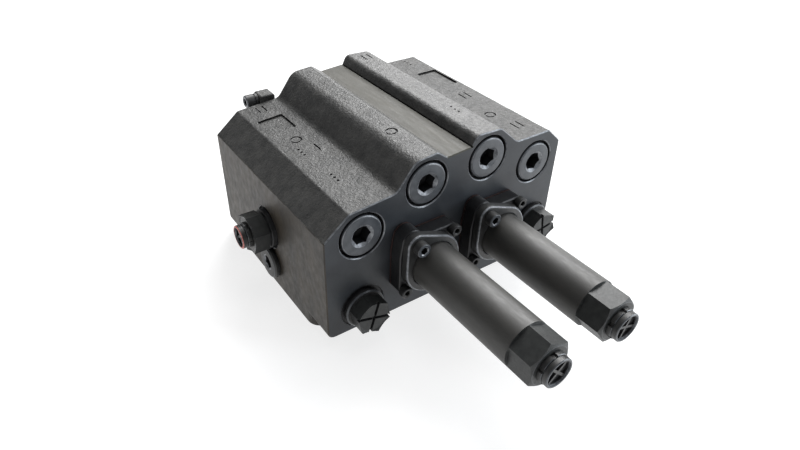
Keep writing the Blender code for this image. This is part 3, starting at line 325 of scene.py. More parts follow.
def add_bumps(tree, place, along, bumps):
    """The normal after (size, depth) bumps in mm, of which the last is drawn along the lay."""
    normal = None
    for index, (size, depth) in enumerate(bumps):
        where = along if index == len(bumps) - 1 else place
        height = noise_at(tree, where, size)
        bump = add_node(tree, "Bump", Height=height, Distance=depth * MM)
        if normal:
            tree.links.new(normal, bump.inputs["Normal"])
        normal = bump.outputs["Normal"]
    return normal


def make_finish(
    name, dark, light, patch, roughness, bumps, metallic=0.0, lay=(1, 1, 1), specular=0.5, specks=()
):
    """A finish whose colour, roughness and relief all vary.

    patch is the size of its colour patches in mm. lay scales the coordinates along each axis,
    which draws the colour and the last bump out along the small ones, as tool marks. The specks
    are sparse spots of colour; on the cast skin the light ones are painted glints and the dark ones
    painted shade in pits.
    """
    made = bpy.data.materials.new(name)
    made.use_nodes = True
    tree = made.node_tree
    shader = tree.nodes["Principled BSDF"]
    place = add_node(tree, "TexCoord").outputs["Object"]
    along = add_node(tree, "Mapping", Vector=place, Scale=lay).outputs["Vector"]
    patches = noise_at(tree, along, patch, detail=5.0)
    colour = colour_ramp(tree, patches, (0.34, dark), (0.66, light))
    colour = add_specks(tree, place, colour, specks)
    tree.links.new(colour, shader.inputs["Base Color"])
    fine = noise_at(tree, along, patch * 0.3, detail=4.0)
    smooth, rough = roughness
    spread = add_node(
        tree, "MapRange", Value=fine, From_Min=0.3, From_Max=0.7, To_Min=smooth, To_Max=rough
    )
    tree.links.new(spread.outputs["Result"], shader.inputs["Roughness"])
    tree.links.new(add_bumps(tree, place, along, bumps), shader.inputs["Normal"])
    shader.inputs["Metallic"].default_value = metallic
    shader.inputs["Specular IOR Level"].default_value = specular
    return made


FINISHES = {name: make_finish(name, **settings) for name, settings in FINISH_SETTINGS.items()}
FINISH_ORDER = list(FINISHES)


# --- shapes -----------------------------------------------------------------------------------


def at(value, angle):
    """A ring's radius or height at an angle, where it isn't the same all around."""
    return value(angle) if callable(value) else value


def hexagon(flats):
    """The distance from the axis to a hexagon's side, with a corner at angle 0."""
    return lambda angle: flats / 2 / cos(angle % (pi / 3) - pi / 6)


def cone_cut(radius, flats, slope, level):
    """The height where a cone through (radius, level) meets a hexagon's sides."""
    side = hexagon(flats)
    return lambda angle: level + (radius - side(angle)) * slope


def loft(bm, matrix, rings, steps=STEPS, loop=False):
    """A skin around local Z through (radius, height, finish of the band that follows) rings.

    A radius or height may depend on the angle. A radius of 0 closes the skin on the axis.
    """
    angles = [2 * pi * index / steps for index in range(steps)]
    circles = []
    for radius, height, _ in rings:
        if radius == 0:
            circles.append([bm.verts.new(matrix @ Vector((0, 0, height)))] * steps)
            continue
        points = [(at(radius, a) * cos(a), at(radius, a) * sin(a), at(height, a)) for a in angles]
        circles.append([bm.verts.new(matrix @ Vector(point)) for point in points])
    following = circles[1:] + circles[:1] if loop else circles[1:]
    for (_, _, finish), low, high in zip(rings, circles, following):
        for index in range(steps):
            after = (index + 1) % steps
            corners = [low[index], low[after], high[after], high[index]]
            face = bm.faces.new(list(dict.fromkeys(corners)))
            face.material_index = FINISH_ORDER.index(finish)


def shifted(outline, inset):
    """A counter-clockwise outline moved inwards."""
    result = []
    for index, point in enumerate(outline):
        into = (point - outline[index - 1]).normalized()
        out = (outline[(index + 1) % len(outline)] - point).normalized()
        side = Vector((-into.y, into.x))
        middle = (side + Vector((-out.y, out.x))).normalized()
        result.append(point + middle * inset / max(0.4, middle.dot(side)))
    return result


def slab(bm, matrix, outline, levels, cap):
    """An outline carried through (height, inset, finish of the band that follows) levels."""
    area = sum(a.cross(b) for a, b in zip(outline, outline[1:] + outline[:1]))
    if area < 0:
        outline = outline[::-1]
    loops = []
    for height, inset, _ in levels:
        points = shifted(outline, inset) if inset else outline
        loops.append([bm.verts.new(matrix @ Vector((*point, height))) for point in points])
    for (_, _, finish), low, high in zip(levels, loops, loops[1:]):
        for index in range(len(outline)):
            corners = [low[index - 1], low[index], high[index], high[index - 1]]
            bm.faces.new(corners).material_index = FINISH_ORDER.index(finish)
    for end in (loops[0][::-1], loops[-1]):
        bm.faces.new(end).material_index = FINISH_ORDER.index(cap)


def rounded(corners):
    """An outline from (x, y, radius) corners, each turned into an arc."""
    points = [Vector(corner[:2]) for corner in corners]
    result = []
    for index, (_, _, radius) in enumerate(corners):
        here = points[index]
        back = (points[index - 1] - here).normalized()
        ahead = (points[(index + 1) % len(points)] - here).normalized()
        half = back.angle(ahead) / 2
        centre = here + (back + ahead).normalized() * radius / sin(half)
        first = here + back * radius / tan(half) - centre
        last = here + ahead * radius / tan(half) - centre
        sweep = atan2(first.cross(last), first.dot(last))
        for step in range(CORNER_STEPS + 1):
            turn = Matrix.Rotation(sweep * step / CORNER_STEPS, 2)
            result.append(centre + turn @ first)
    return result


def rectangle(half_x, half_y, radius, centre=(0, 0)):
    cx, cy = centre
    signs = [(-1, -1), (1, -1), (1, 1), (-1, 1)]
    return rounded([(cx + half_x * sx, cy + half_y * sy, radius) for sx, sy in signs])


def arc(centre, radius, start, end, count):
    """Points along an arc, with its ends."""
    turns = [start + (end - start) * index / (count - 1) for index in range(count)]
    return [Vector((centre[0] + radius * cos(a), centre[1] + radius * sin(a))) for a in turns]


def solid(bm):
    """An object from a bmesh, with a slot for every finish."""
    bmesh.ops.recalc_face_normals(bm, faces=bm.faces)
    mesh = bpy.data.meshes.new("solid")
    bm.to_mesh(mesh)
    bm.free()
    for material in FINISHES.values():
        mesh.materials.append(material)
    made = bpy.data.objects.new("solid", mesh)
    bpy.context.scene.collection.objects.link(made)
    return made


def apply_modifiers(obj):
    graph = bpy.context.evaluated_depsgraph_get()
    finished = bpy.data.meshes.new_from_object(obj.evaluated_get(graph))
    obj.modifiers.clear()
    obj.data = finished


def carve(obj, bm, operation="DIFFERENCE"):
    """Cuts the bmesh's solids from the object, or adds them to it."""
    tool = solid(bm)
    change = obj.modifiers.new("Carve", "BOOLEAN")
    change.operation = operation
    change.solver = "EXACT"
    change.object = tool
    apply_modifiers(obj)
    bpy.data.objects.remove(tool, do_unlink=True)


def keep_used_finishes(mesh):
    """Drops the slots that no face uses."""
    used = sorted({face.material_index for face in mesh.polygons})
    numbers = [used.index(face.material_index) for face in mesh.polygons]
    mesh.materials.clear()
    for number in used:
        mesh.materials.append(FINISHES[FINISH_ORDER[number]])
    mesh.polygons.foreach_set("material_index", numbers)


def finish_mesh(obj, name):
    """Names the piece, drops its unused finishes and settles its shading."""
    obj.name = obj.data.name = name
    keep_used_finishes(obj.data)
    obj.data.shade_smooth()
    obj.data.set_sharp_from_angle(angle=SHARP_ANGLE)
    weighted = obj.modifiers.new("Weighted", "WEIGHTED_NORMAL")
    weighted.keep_sharp = True
    apply_modifiers(obj)


def hand_over(obj, name, node):
    """Finishes the piece, and puts it in the place of its CAD node, on the same body."""
    finish_mesh(obj, name)
    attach(obj, BODY_OF[node])
    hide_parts(node)


def face_frame(node, facing, turn=0.0):
    """Local millimetres at the middle of the side of a CAD node that looks along facing."""
    low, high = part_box(node)
    outwards = facing.to_3x3() @ Vector((0, 0, 1))
    middle = (low + high) / 2
    for axis in range(3):
        if abs(outwards[axis]) > 0.5:
            middle[axis] = high[axis] if outwards[axis] > 0 else low[axis]
    return Matrix.Translation(middle) @ facing @ Matrix.Rotation(turn, 4, "Z") @ Matrix.Scale(MM, 4)


def spot(x, y, z, facing):
    """Local millimetres at a point given in millimetres."""
    return Matrix.Translation(Vector((x, y, z)) * MM) @ facing @ Matrix.Scale(MM, 4)


# --- the casting ------------------------------------------------------------------------------


def top_height(x):
    """The height of the block's top at x, from its section."""
    top = SECTION[1:-1]
    for (x0, z0, _), (x1, z1, _) in zip(top, top[1:]):
        if x0 <= x <= x1:
            return z0 + (z1 - z0) * (x - x0) / (x1 - x0)
    raise ValueError(f"no top at x = {x}")


def is_cast(point):
    """Whether a point of the block, in millimetres, is on its unmachined top."""
    low, high = CHANNEL_X
    over_channel = low - 0.8 < point.x < high + 0.8 and point.z < CHANNEL_TOP
    return point.z > CAST_ABOVE and not over_channel


def finish_section(bm):
    """Gives the block's faces around its section their finishes."""
    bm.normal_update()
    for face in bm.faces:
        middle = face.calc_center_median() / MM
        if is_cast(middle):
            # Upward faces of the right shoulder get the darker cast skin: painted shade.
            if middle.x > SHADED_SHOULDER_X and face.normal.z > 0.9:
                face.material_index = FINISH_ORDER.index("cast_shoulder_painted_shade")
        elif abs(face.normal.y) < 0.9:
            # Machined faces on top get a lighter finish than those on the sides: painted light.
            finish = "milled_channel_painted_light" if middle.z > CAST_ABOVE else "milled_side"
            face.material_index = FINISH_ORDER.index(finish)


def wave_at(point, lengths):
    return noise.noise(Vector(place / length for place, length in zip(point, lengths)))


def roughen_cast_top(bm):
    """Sinks and sways the cast top a little, as sand casting does, and leaves the sides straight."""
    for vert in bm.verts:
        point = vert.co / MM
        if is_cast(point) and abs(point.y) < BLOCK_HALF_DEPTH - 2:
            wave = wave_at(point, LONG_WAVE)
            ripple = 0.15 * wave_at(point, SHORT_WAVE)
            inside = 1 - abs(point.x) / SECTION[-1][0]
            vert.co.z -= CAST_WAVE * MM * (0.6 + 0.8 * wave + ripple)
            vert.co.x += CAST_WAVE * MM * (0.7 * wave + ripple) * inside


def casting_skin():
    """The block without holes: its section carried along Y."""
    bm = bmesh.new()
    half, inner = BLOCK_HALF_DEPTH, BLOCK_HALF_DEPTH - BLOCK_CHAMFER
    # The front and back end chamfers are worn and carry a painted highlight.
    levels = [(-half, BLOCK_CHAMFER, "worn_edge_and_highlight"), (-inner, 0, "cast_skin")]
    for row in range(1, BLOCK_ROWS):
        levels.append(((2 * row / BLOCK_ROWS - 1) * inner, 0, "cast_skin"))
    levels += [(inner, 0, "worn_edge_and_highlight"), (half, BLOCK_CHAMFER, "worn_edge_and_highlight")]
    slab(bm, FRONT @ Matrix.Scale(MM, 4), rounded(SECTION), levels, "milled_front")
    finish_section(bm)
    roughen_cast_top(bm)
    return solid(bm)


def bore(bm, matrix, steps, mouth=0.3):
    """A stepped hole from (radius, depth) pairs, with a worn chamfer at its mouth carrying a painted
    highlight, and painted shade inside.
    """
    rings = [(0, 2, "hollow_painted_shade"), (steps[0][0] + mouth + 2, 2, "worn_edge_and_highlight")]
    top = mouth
    for radius, depth in steps:
        rings += [(radius, -top, "hollow_painted_shade"), (radius, -depth, "hollow_painted_shade")]
        top = depth
    rings.append((0, -top, "hollow_painted_shade"))
    loft(bm, matrix, rings)


def plain_hole(radius, top, bottom):
    """The rings of a round cutter from top down to bottom."""
    # Its walls are painted shade.
    return [
        (0, top, "hollow_painted_shade"), (radius, top, "hollow_painted_shade"),
        (radius, bottom, "hollow_painted_shade"), (0, bottom, "hollow_painted_shade"),
    ]


def threaded_port(bm, matrix, radius, face_radius):
    """A port with a spot face and thread grooves down its wall, in painted shade in the grooves and
    the bore below.
    """
    rings = [
        (0, 2, "hollow_painted_shade"), (face_radius, 2, "milled_front"),
        (face_radius, -0.6, "milled_front"), (radius + 1.0, -0.6, "worn_edge_and_highlight"),
        (radius, -1.6, "plug_grey"),
    ]
    for turn in range(THREAD_TURNS):
        start = -2.2 - THREAD_PITCH * turn
        rings.append((radius, start, "plug_grey"))
        rings.append((radius + 0.7, start - THREAD_PITCH / 2, "hollow_painted_shade"))
    rings += [
        (radius, -17.0, "hollow_painted_shade"), (radius, -22.0, "hollow_painted_shade"), (0, -22.0, "hollow_painted_shade"),
    ]
    loft(bm, matrix, rings)


def cavities():
    """The block's bores and ports, as one set of cutters that stay clear of each other."""
    bm = bmesh.new()
    for number in range(1, 5):
        x, _, z = face_frame(f"front_plug_{number}", FRONT).translation / MM
        bore(bm, spot(x, -BLOCK_HALF_DEPTH, z, FRONT), FRONT_PLUG_BORE, mouth=0.55)
    for side, step in CHECK_RECESS.items():
        x, _, z = face_frame(f"hex_plug_{side}", FRONT).translation / MM
        bore(bm, spot(x, -BLOCK_HALF_DEPTH, z, FRONT), [step] + CHECK_BORE)
    for number in (1, 2):
        x, _, z = face_frame(f"spool_{number}", BACK).translation / MM
        past = BLOCK_HALF_DEPTH + 2
        loft(bm, spot(x, 0, z, FRONT), plain_hole(SPOOL_RADIUS + 0.3, past, -past))
    _, y, z = face_frame("relief_body", LEFT).translation / MM
    bore(bm, spot(SECTION[0][0], y, z, LEFT), RELIEF_BORE)
    _, y, z = face_frame("side_plug", LEFT).translation / MM
    bore(bm, spot(SECTION[0][0], y, z, LEFT), SIDE_PLUG_BORE)
    for x, z in BACK_PORTS:
        threaded_port(bm, spot(x, BLOCK_HALF_DEPTH, z, BACK), *BACK_PORT_SIZE)
    threaded_port(bm, spot(SECTION[-1][0], *TANK_PORT, RIGHT), *TANK_PORT_SIZE)
    return bm


def small_holes():
    """Screw holes in the front, the back and the feet."""
    bm = bmesh.new()
    rings = plain_hole(SCREW_HOLE_RADIUS, 2, -SCREW_HOLE_DEPTH)
    pairs = [(number, side) for number in (1, 2) for side in (1, 2)]
    screws = [(f"plate_screw_{number}_{side}", FRONT, -1) for number, side in pairs]
    screws += [(f"rear_screw_{number}_{side}", BACK, 1) for number, side in pairs]
    screws += [(f"service_screw_{number}", BACK, 1) for number in (1, 2)]
    for node, facing, sign in screws:
        x, _, z = face_frame(node, facing).translation / MM
        loft(bm, spot(x, sign * BLOCK_HALF_DEPTH, z, facing), rings, 24)
    down = Matrix.Rotation(pi, 4, "X")
    for x in (-RAIL_X, RAIL_X):
        for y in (-RAIL_END_Y, RAIL_END_Y):
            bore(bm, spot(x, y, 0, down), FOOT_BORE, mouth=0.4)
    return bm


def mark_shape(bm, x, y, shape):
    """One cast identification mark: plain bars, dots or a ring, with no meaning as a letter."""
    local = spot(x, y, top_height(x), UP)
    # The mark's walls and floor are painted shade.
    levels = [(-MARK_DEPTH, 0.15, "hollow_painted_shade"), (1.5, 0, "hollow_painted_shade")]
    if shape == "ring":
        outer, inner = MARK_RING
        loft(bm, local, [
            (outer, 1.5, "hollow_painted_shade"), (outer - 0.1, -MARK_DEPTH, "hollow_painted_shade"),
            (inner + 0.1, -MARK_DEPTH, "hollow_painted_shade"), (inner, 1.5, "hollow_painted_shade"),
        ], 32, loop=True)
    elif shape == "dots":
        for offset in (-3.6, 0, 3.6):
            dot = arc((0, offset), MARK_DOT, 0, 2 * pi * 11 / 12, 12)
            slab(bm, local, dot, levels, "hollow_painted_shade")
    else:
        offsets = (-2.2, 2.2) if shape == "bars" else (0,)
        for offset in offsets:
            slab(bm, local, rectangle(*MARK_BAR, 0.5, (offset, 0)), levels, "hollow_painted_shade")


def recess(bm, x0, x1, y0, y1):
    """A shallow label recess whose floor follows the top's slope."""
    x, y = (x0 + x1) / 2, (y0 + y1) / 2
    lean = atan2(top_height(x1) - top_height(x0), x1 - x0)
    local = spot(x, y, top_height(x), Matrix.Rotation(-lean, 4, "Y"))
    outline = rectangle((x1 - x0) / 2, (y1 - y0) / 2, 1.2)
    # The recess walls are painted shade.
    levels = [(-RECESS_FLOOR, 0, "hollow_painted_shade"), (4, 0, "hollow_painted_shade")]
    # On the right shoulder the recess floor takes the shoulder's painted shade.
    slab(bm, local, outline, levels, "cast_shoulder_painted_shade" if x > SHADED_SHOULDER_X else "cast_skin")


def channel_shade_groove(bm):
    """A narrow groove along the foot of the right ridge, beside the milled channel, in painted shade:
    it stands for the shadow in that corner.
    """
    x = CHANNEL_X[1] - 0.3
    levels = [(-0.6, 0, "hollow_painted_shade"), (2, 0, "hollow_painted_shade")]
    slab(bm, spot(x, 0, top_height(x), UP), rectangle(0.45, 72, 0.2), levels, "hollow_painted_shade")


def foot_rails():
    """The rails under both sides, and the pad in the middle."""
    bm = bmesh.new()
    outline = arc((0, RAIL_END_Y), RAIL_HALF_WIDTH, 0, pi, 17)
    outline += arc((0, -RAIL_END_Y), RAIL_HALF_WIDTH, pi, 2 * pi, 17)
    levels = [(0, 0.6, "worn_edge_and_highlight"), (0.6, 0, "milled_side"), (BLOCK_BASE + 4, 0, "milled_side")]
    for x in (-RAIL_X, RAIL_X):
        slab(bm, spot(x, 0, 0, UP), outline, levels, "milled_side")
    loft(bm, spot(0, 0, 0, UP), [
        (0, 0, "milled_side"), (PAD_RADIUS - 0.5, 0, "worn_edge_and_highlight"), (PAD_RADIUS, 0.5, "cast_skin"),
        (PAD_RADIUS, BLOCK_BASE + 2, "cast_skin"), (0, BLOCK_BASE + 2, "cast_skin"),
    ])
    return bm


def build_casting():
    block = casting_skin()
    carve(block, foot_rails(), "UNION")
    carve(block, cavities())
    carve(block, small_holes())
    cuts = bmesh.new()
    for x, y, shape in MARKS:
        mark_shape(cuts, x, y, shape)
    for bounds in RECESSES:
        recess(cuts, *bounds)
    channel_shade_groove(cuts)
    carve(block, cuts)
    hand_over(block, "casting", "valve_body")


# --- plugs and screws -------------------------------------------------------------------------


def socket_rings(flats, mouth, depth, face="plug_grey", edge="worn_edge_and_highlight"):
    """The rings of a hexagon socket from its floor to the rim of its chamfered mouth, at height 0."""
    side = hexagon(flats)
    return [
        (0, -depth - 1.0, "hollow_painted_shade"), (side, -depth, "hollow_painted_shade"),
        (side, cone_cut(mouth, flats, -0.8, 0), edge), (mouth, 0, face),
    ]


def build_front_plugs():
    for number in range(1, 5):
        bm = bmesh.new()
        local = face_frame(f"front_plug_{number}", FRONT, radians(42 + 17 * number))
        # Around the plug face: a worn rim with a painted highlight, then a gap in painted shade.
        loft(bm, local, socket_rings(10, 6.9, 8) + [
            (11.2, -0.05, "plug_grey"), (11.7, -0.25, "worn_edge_and_highlight"), (12.1, -0.6, "plug_grey"),
            (12.4, -1.2, "hollow_painted_shade"), (12.6, -5.4, "hollow_painted_shade"), (10.0, -5.4, "hollow_painted_shade"),
            (10.0, -18.2, "hollow_painted_shade"), (8.8, -19.4, "hollow_painted_shade"), (0, -19.4, "hollow_painted_shade"),
        ])
        hand_over(solid(bm), f"flush_plug_{number}", f"front_plug_{number}")


def build_check_caps():
    """Proud hexagon plugs, with a cross of grooves over the head."""
    side = hexagon(CAP_FLATS)
    collar = CAP_COLLAR - CAP_HEIGHT
    for name, cross_turn in CAP_CROSS_TURNS.items():
        bm = bmesh.new()
        local = face_frame(f"hex_plug_{name}", FRONT, CAP_HEX_TURN)
        loft(bm, local, [
            (0, 0, "hex_black"), (8.6, 0, "satin_black"), (9.0, -0.15, "hex_black"),
            (side, cone_cut(9.0, CAP_FLATS, -0.55, -0.15), "hex_black"),
            (side, collar, "satin_black"), (11.0, collar, "satin_black"),
            (11.5, collar, "plug_grey"), (12.3, collar - 0.8, "satin_black"),
            (12.3, collar - 1.9, "hollow_painted_shade"), (11.7, collar - 2.2, "hollow_painted_shade"),
            (11.7, -12.9, "hollow_painted_shade"), (9.2, -12.9, "hollow_painted_shade"),
            (9.2, -26, "hollow_painted_shade"), (5.5, -26, "hollow_painted_shade"),
            (5.5, -14, "hollow_painted_shade"), (0, -14, "hollow_painted_shade"),
        ])
        cap = solid(bm)
        levels = [(-1.7, 0.15, "hollow_painted_shade"), (2, 0, "hollow_painted_shade")]
        for quarter in range(2):
            groove = bmesh.new()
            arm = local @ Matrix.Rotation(radians(cross_turn + 90 * quarter), 4, "Z")
            slab(groove, arm, rectangle(14, CAP_GROOVE_HALF_WIDTH, 0.3), levels, "hollow_painted_shade")
            carve(cap, groove)
        hand_over(cap, f"check_cap_{name}", f"hex_plug_{name}")


def build_side_plug():
    bm = bmesh.new()
    loft(bm, face_frame("side_plug", LEFT), socket_rings(8, 5.2, 7, "plate_black") + [
        (9.4, 0, "plug_grey"), (10.0, -0.3, "satin_black"), (10.9, -1.2, "satin_black"),
        (10.9, -2.4, "hollow_painted_shade"), (10.4, -2.6, "hollow_painted_shade"), (10.4, -3.7, "hollow_painted_shade"),
        (7.8, -3.7, "hollow_painted_shade"), (7.8, -15.7, "hollow_painted_shade"), (0, -15.7, "hollow_painted_shade"),
    ])
    hand_over(solid(bm), "gallery_plug", "side_plug")


def ribbed(radius):
    """The radius of a knurled head, with a rib on every second step."""
    return lambda angle: radius - 0.13 * (round(angle / (2 * pi) * STEPS) % 2)


def build_cap_screws():
    """Socket head screws with a knurled head."""
    groups = [
        ("plate_screw", FRONT, M4_SCREW, "plate_black"),
        ("flange_screw", FRONT, M5_SCREW, "plug_grey"),
        ("rear_screw", BACK, M4_SCREW, "satin_black"),
    ]
    nodes = [
        (f"{kind}_{number}_{side}", facing, size, face)
        for kind, facing, size, face in groups for number in (1, 2) for side in (1, 2)
    ]
    nodes += [(f"service_screw_{number}", BACK, M4_SCREW, "satin_black") for number in (1, 2)]
    for index, (node, facing, size, face) in enumerate(nodes):
        radius, height, shank, flats = size
        low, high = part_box(node)
        length = (high.y - low.y) / MM
        ribs = ribbed(radius)
        # The flange screws' socket mouths are worn and carry a painted highlight.
        edge = "worn_edge_and_highlight" if size == M5_SCREW else "satin_black"
        socket = socket_rings(flats, flats * 0.66, height * 0.6, face, edge)
        bm = bmesh.new()
        loft(bm, face_frame(node, facing, radians(23 * index)), socket + [
            (radius - 0.55, 0, face), (radius - 0.12, -0.45, "satin_black"),
            (ribs, -0.6, "satin_black"), (ribs, -height + 0.3, "satin_black"),
            (radius - 0.2, -height, "hollow_painted_shade"), (shank, -height, "hollow_painted_shade"),
            (shank, -length, "hollow_painted_shade"), (0, -length, "hollow_painted_shade"),
        ])
        hand_over(solid(bm), node.replace("screw", "cap_screw"), node)


# --- front ends of the spools -----------------------------------------------------------------


def plate_outline():
    """A rectangle joined with the two lobes of the flange's screws."""
    half_x, half_z = PLATE_HALF_SIZE
    corner, centre, lobe = PLATE_CORNER, FLANGE_SCREW_AT, FLANGE_LOBE
    half = arc((half_x - corner, half_z - corner), corner, 0, pi / 2, 6)
    start = atan2(half_z - centre.y, (lobe**2 - (half_z - centre.y) ** 2) ** 0.5)
    half += arc(centre, lobe, start, pi, 14)
    half.append(Vector((-half_x, centre.y - lobe - 2)))
    return half + [-point for point in half]


def flange_outline():
    """A round flange with a lobe on each side, joined by tangents."""
    radius, lobe = FLANGE_RADIUS, FLANGE_LOBE
    distance = FLANGE_SCREW_AT.length
    angle = atan2(FLANGE_SCREW_AT.y, FLANGE_SCREW_AT.x)
    lean = acos((radius - lobe) / distance)
    points = []
    for turn in (angle, angle + pi):
        centre = (distance * cos(turn), distance * sin(turn))
        points += arc(centre, lobe, turn - lean, turn + lean, 12)
        points += arc((0, 0), radius, turn + lean, turn + pi - lean, 22)
    return points


def edged(thickness, foot, edge, side, rim):
    """The levels of a plate with its face at 0, and a chamfer at its foot and at its face."""
    return [
        (-thickness, foot, side), (foot - thickness, 0, side), (-edge, 0, rim), (0, edge, rim),
    ]


def build_plates():
    for number in (1, 2):
        local = face_frame(f"spring_plate_{number}", FRONT)
        bm = bmesh.new()
        levels = edged(8.5, 0.3, 0.6, "plate_black", "plate_black")
        slab(bm, local, plate_outline(), levels, "plate_black")
        plate = solid(bm)
        wide = bmesh.new()
        bore(wide, local, [(11.5, 12)])
        for side in (1, -1):
            x, y = PLATE_SCREW_AT * side
            bore(wide, local @ Matrix.Translation((x, y, 0)), [(SCREW_HOLE_RADIUS, 12)])
            x, y = FLANGE_SCREW_AT * side
            bore(wide, local @ Matrix.Translation((x, y, 0)), [(FLANGE_SCREW_HOLE, 7.5)])
        carve(plate, wide)
        seat = bmesh.new()
        bore(seat, local, [(TUBE_SEAT, 4.9)])
        carve(plate, seat)
        hand_over(plate, f"adapter_plate_{number}", f"spring_plate_{number}")


def build_flanges():
    for number in (1, 2):
        local = face_frame(f"end_flange_{number}", FRONT)
        bm = bmesh.new()
        # The flange's front rim is worn and carries a painted highlight.
        levels = [
            (-5.0, 0.3, "satin_black"), (-4.7, 0, "satin_black"),
            (-0.9, 0, "worn_edge_and_highlight"), (-0.3, 0.25, "worn_edge_and_highlight"), (0, 0.9, "worn_edge_and_highlight"),
        ]
        slab(bm, local, flange_outline(), levels, "satin_black")
        flange = solid(bm)
        holes = bmesh.new()
        bore(holes, local, [(TUBE_SEAT, 8)], mouth=0.5)
        for side in (1, -1):
            x, y = FLANGE_SCREW_AT * side
            bore(holes, local @ Matrix.Translation((x, y, 0)), [(FLANGE_SCREW_HOLE, 8)])
        carve(flange, holes)
        hand_over(flange, f"tube_flange_{number}", f"end_flange_{number}")


def build_tubes():
    """Spring housings: a tube with a hexagon milled on its end and a coned mouth."""
    hex_side = hexagon(TUBE_FLATS)

    def outside(angle):
        return min(hex_side(angle), TUBE_RADIUS)

    for number in (1, 2):
        node = f"spring_tube_{number}"
        low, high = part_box(node)
        length = (high.y - low.y) / MM
        local = face_frame(node, FRONT, TUBE_HEX_TURNS[number - 1])
        bm = bmesh.new()
        loft(bm, local, [
            (5.3, -0.3, "plug_grey"), (5.6, 0, "hex_black"),
            (11.2, 0, "plug_grey"), (11.5, -0.1, "hex_black"),
            (outside, cone_cut(TUBE_RADIUS, TUBE_FLATS, 0.5, -1.3), "hex_black"),
            (outside, -TUBE_HEX_LENGTH + 0.3, "hex_black"),
            (TUBE_RADIUS, -TUBE_HEX_LENGTH, "tube_black"), (TUBE_RADIUS, -length + 0.4, "tube_black"),
            (TUBE_RADIUS - 0.4, -length, "hollow_painted_shade"), (11.3, -length, "hollow_painted_shade"),
            (11.3, -TUBE_HEX_LENGTH + 4, "hollow_painted_shade"), (5.3, -TUBE_HEX_LENGTH + 4, "hollow_painted_shade"),
        ], 96, loop=True)
        hand_over(solid(bm), f"spring_housing_{number}", node)


def castle_ring(node, facing, size, piece):
    """A round nut with six lugs around it."""
    hole, root, lug, thickness = size
    steps = 144
    period = steps // 6

    def lobed(angle):
        place = round(angle / (2 * pi) * steps) % period
        return lug if place < period * 0.72 else root

    def narrow(angle):
        return lobed(angle) - 0.35

    bm = bmesh.new()
    loft(bm, face_frame(node, facing, radians(-15)), [
        (hole, -0.3, "worn_edge_and_highlight"), (hole + 0.3, 0, "satin_black"), (narrow, 0, "plug_grey"),
        (lobed, -0.35, "satin_black"), (lobed, -thickness, "satin_black"),
        (hole, -thickness, "hollow_painted_shade"),
    ], steps, loop=True)
    hand_over(solid(bm), piece, node)


def cross_screw(node, facing, turn, size, piece, rim="plug_grey"):
    """An adjusting screw: a cupped head with a cross web standing in its recess."""
    radius, height, shank = size
    low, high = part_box(node)
    length = max(high - low) / MM
    inner = radius - 1.3
    bm = bmesh.new()
    local = face_frame(node, facing, turn)
    loft(bm, local, [
        (0, -height * 0.4, "satin_black"), (inner, -height * 0.4, "worn_edge_and_highlight"),
        (inner + 0.2, 0, rim), (radius - 0.4, 0, rim), (radius, -0.4, "satin_black"),
        (radius, -height, "hollow_painted_shade"), (shank, -height, "hollow_painted_shade"),
        (shank, -length, "hollow_painted_shade"), (0, -length, "hollow_painted_shade"),
    ])
    screw = solid(bm)
    pockets = bmesh.new()
    for quarter in range(4):
        corner = local @ Matrix.Rotation(pi / 2 * quarter, 4, "Z")
        lean = WEB_HALF_WIDTH / (inner - 0.3)
        outline = arc((0, 0), inner - 0.3, lean, pi / 2 - lean, 10)
        outline.append(Vector((WEB_HALF_WIDTH, WEB_HALF_WIDTH)))
        levels = [(-height * 0.8, 0.15, "hollow_painted_shade"), (2, 0, "hollow_painted_shade")]
        slab(pockets, corner, outline, levels, "hollow_painted_shade")
    carve(screw, pockets)
    hand_over(screw, piece, node)


def build_adjusters():
    for number in (1, 2):
        castle_ring(f"lock_ring_{number}", FRONT, STROKE_RING, f"castle_ring_{number}")
        turn = radians(20 + 25 * number)
        cross_screw(
            f"stroke_adjuster_{number}", FRONT, turn, STROKE_SCREW, f"stroke_screw_{number}"
        )
    castle_ring("relief_lock_ring", LEFT, RELIEF_RING, "relief_castle_ring")
    cross_screw("relief_adjuster", LEFT, radians(30), RELIEF_SCREW, "relief_screw", "red_lacquer")


# --- relief cartridge, spools and the back ----------------------------------------------------


def build_relief_body():
    side = hexagon(RELIEF_FLATS)
    low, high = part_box("relief_body")
    length = (high.x - low.x) / MM
    step = -RELIEF_HEX_LENGTH
    foot = step - RELIEF_COLLAR - 1.2
    bm = bmesh.new()
    loft(bm, face_frame("relief_body", LEFT, radians(50)), [
        (4.3, -0.4, "worn_edge_and_highlight"), (4.7, 0, "satin_black"),
        (10.2, 0, "worn_edge_and_highlight"), (10.5, -0.15, "satin_black"),
        (side, cone_cut(10.5, RELIEF_FLATS, -0.55, -0.15), "hex_black"),
        (side, step + 1.2, "hollow_painted_shade"), (10.4, step + 1.0, "hollow_painted_shade"),
        (10.4, step, "hollow_painted_shade"), (11.8, step, "hollow_painted_shade"),
        (12.2, step - 0.4, "hollow_painted_shade"), (12.2, foot, "hollow_painted_shade"),
        (8.7, foot, "hollow_painted_shade"), (8.7, -length, "hollow_painted_shade"),
        (6.0, -length, "hollow_painted_shade"), (6.0, -14, "hollow_painted_shade"), (4.3, -14, "hollow_painted_shade"),
    ], loop=True)
    hand_over(solid(bm), "relief_cartridge", "relief_body")


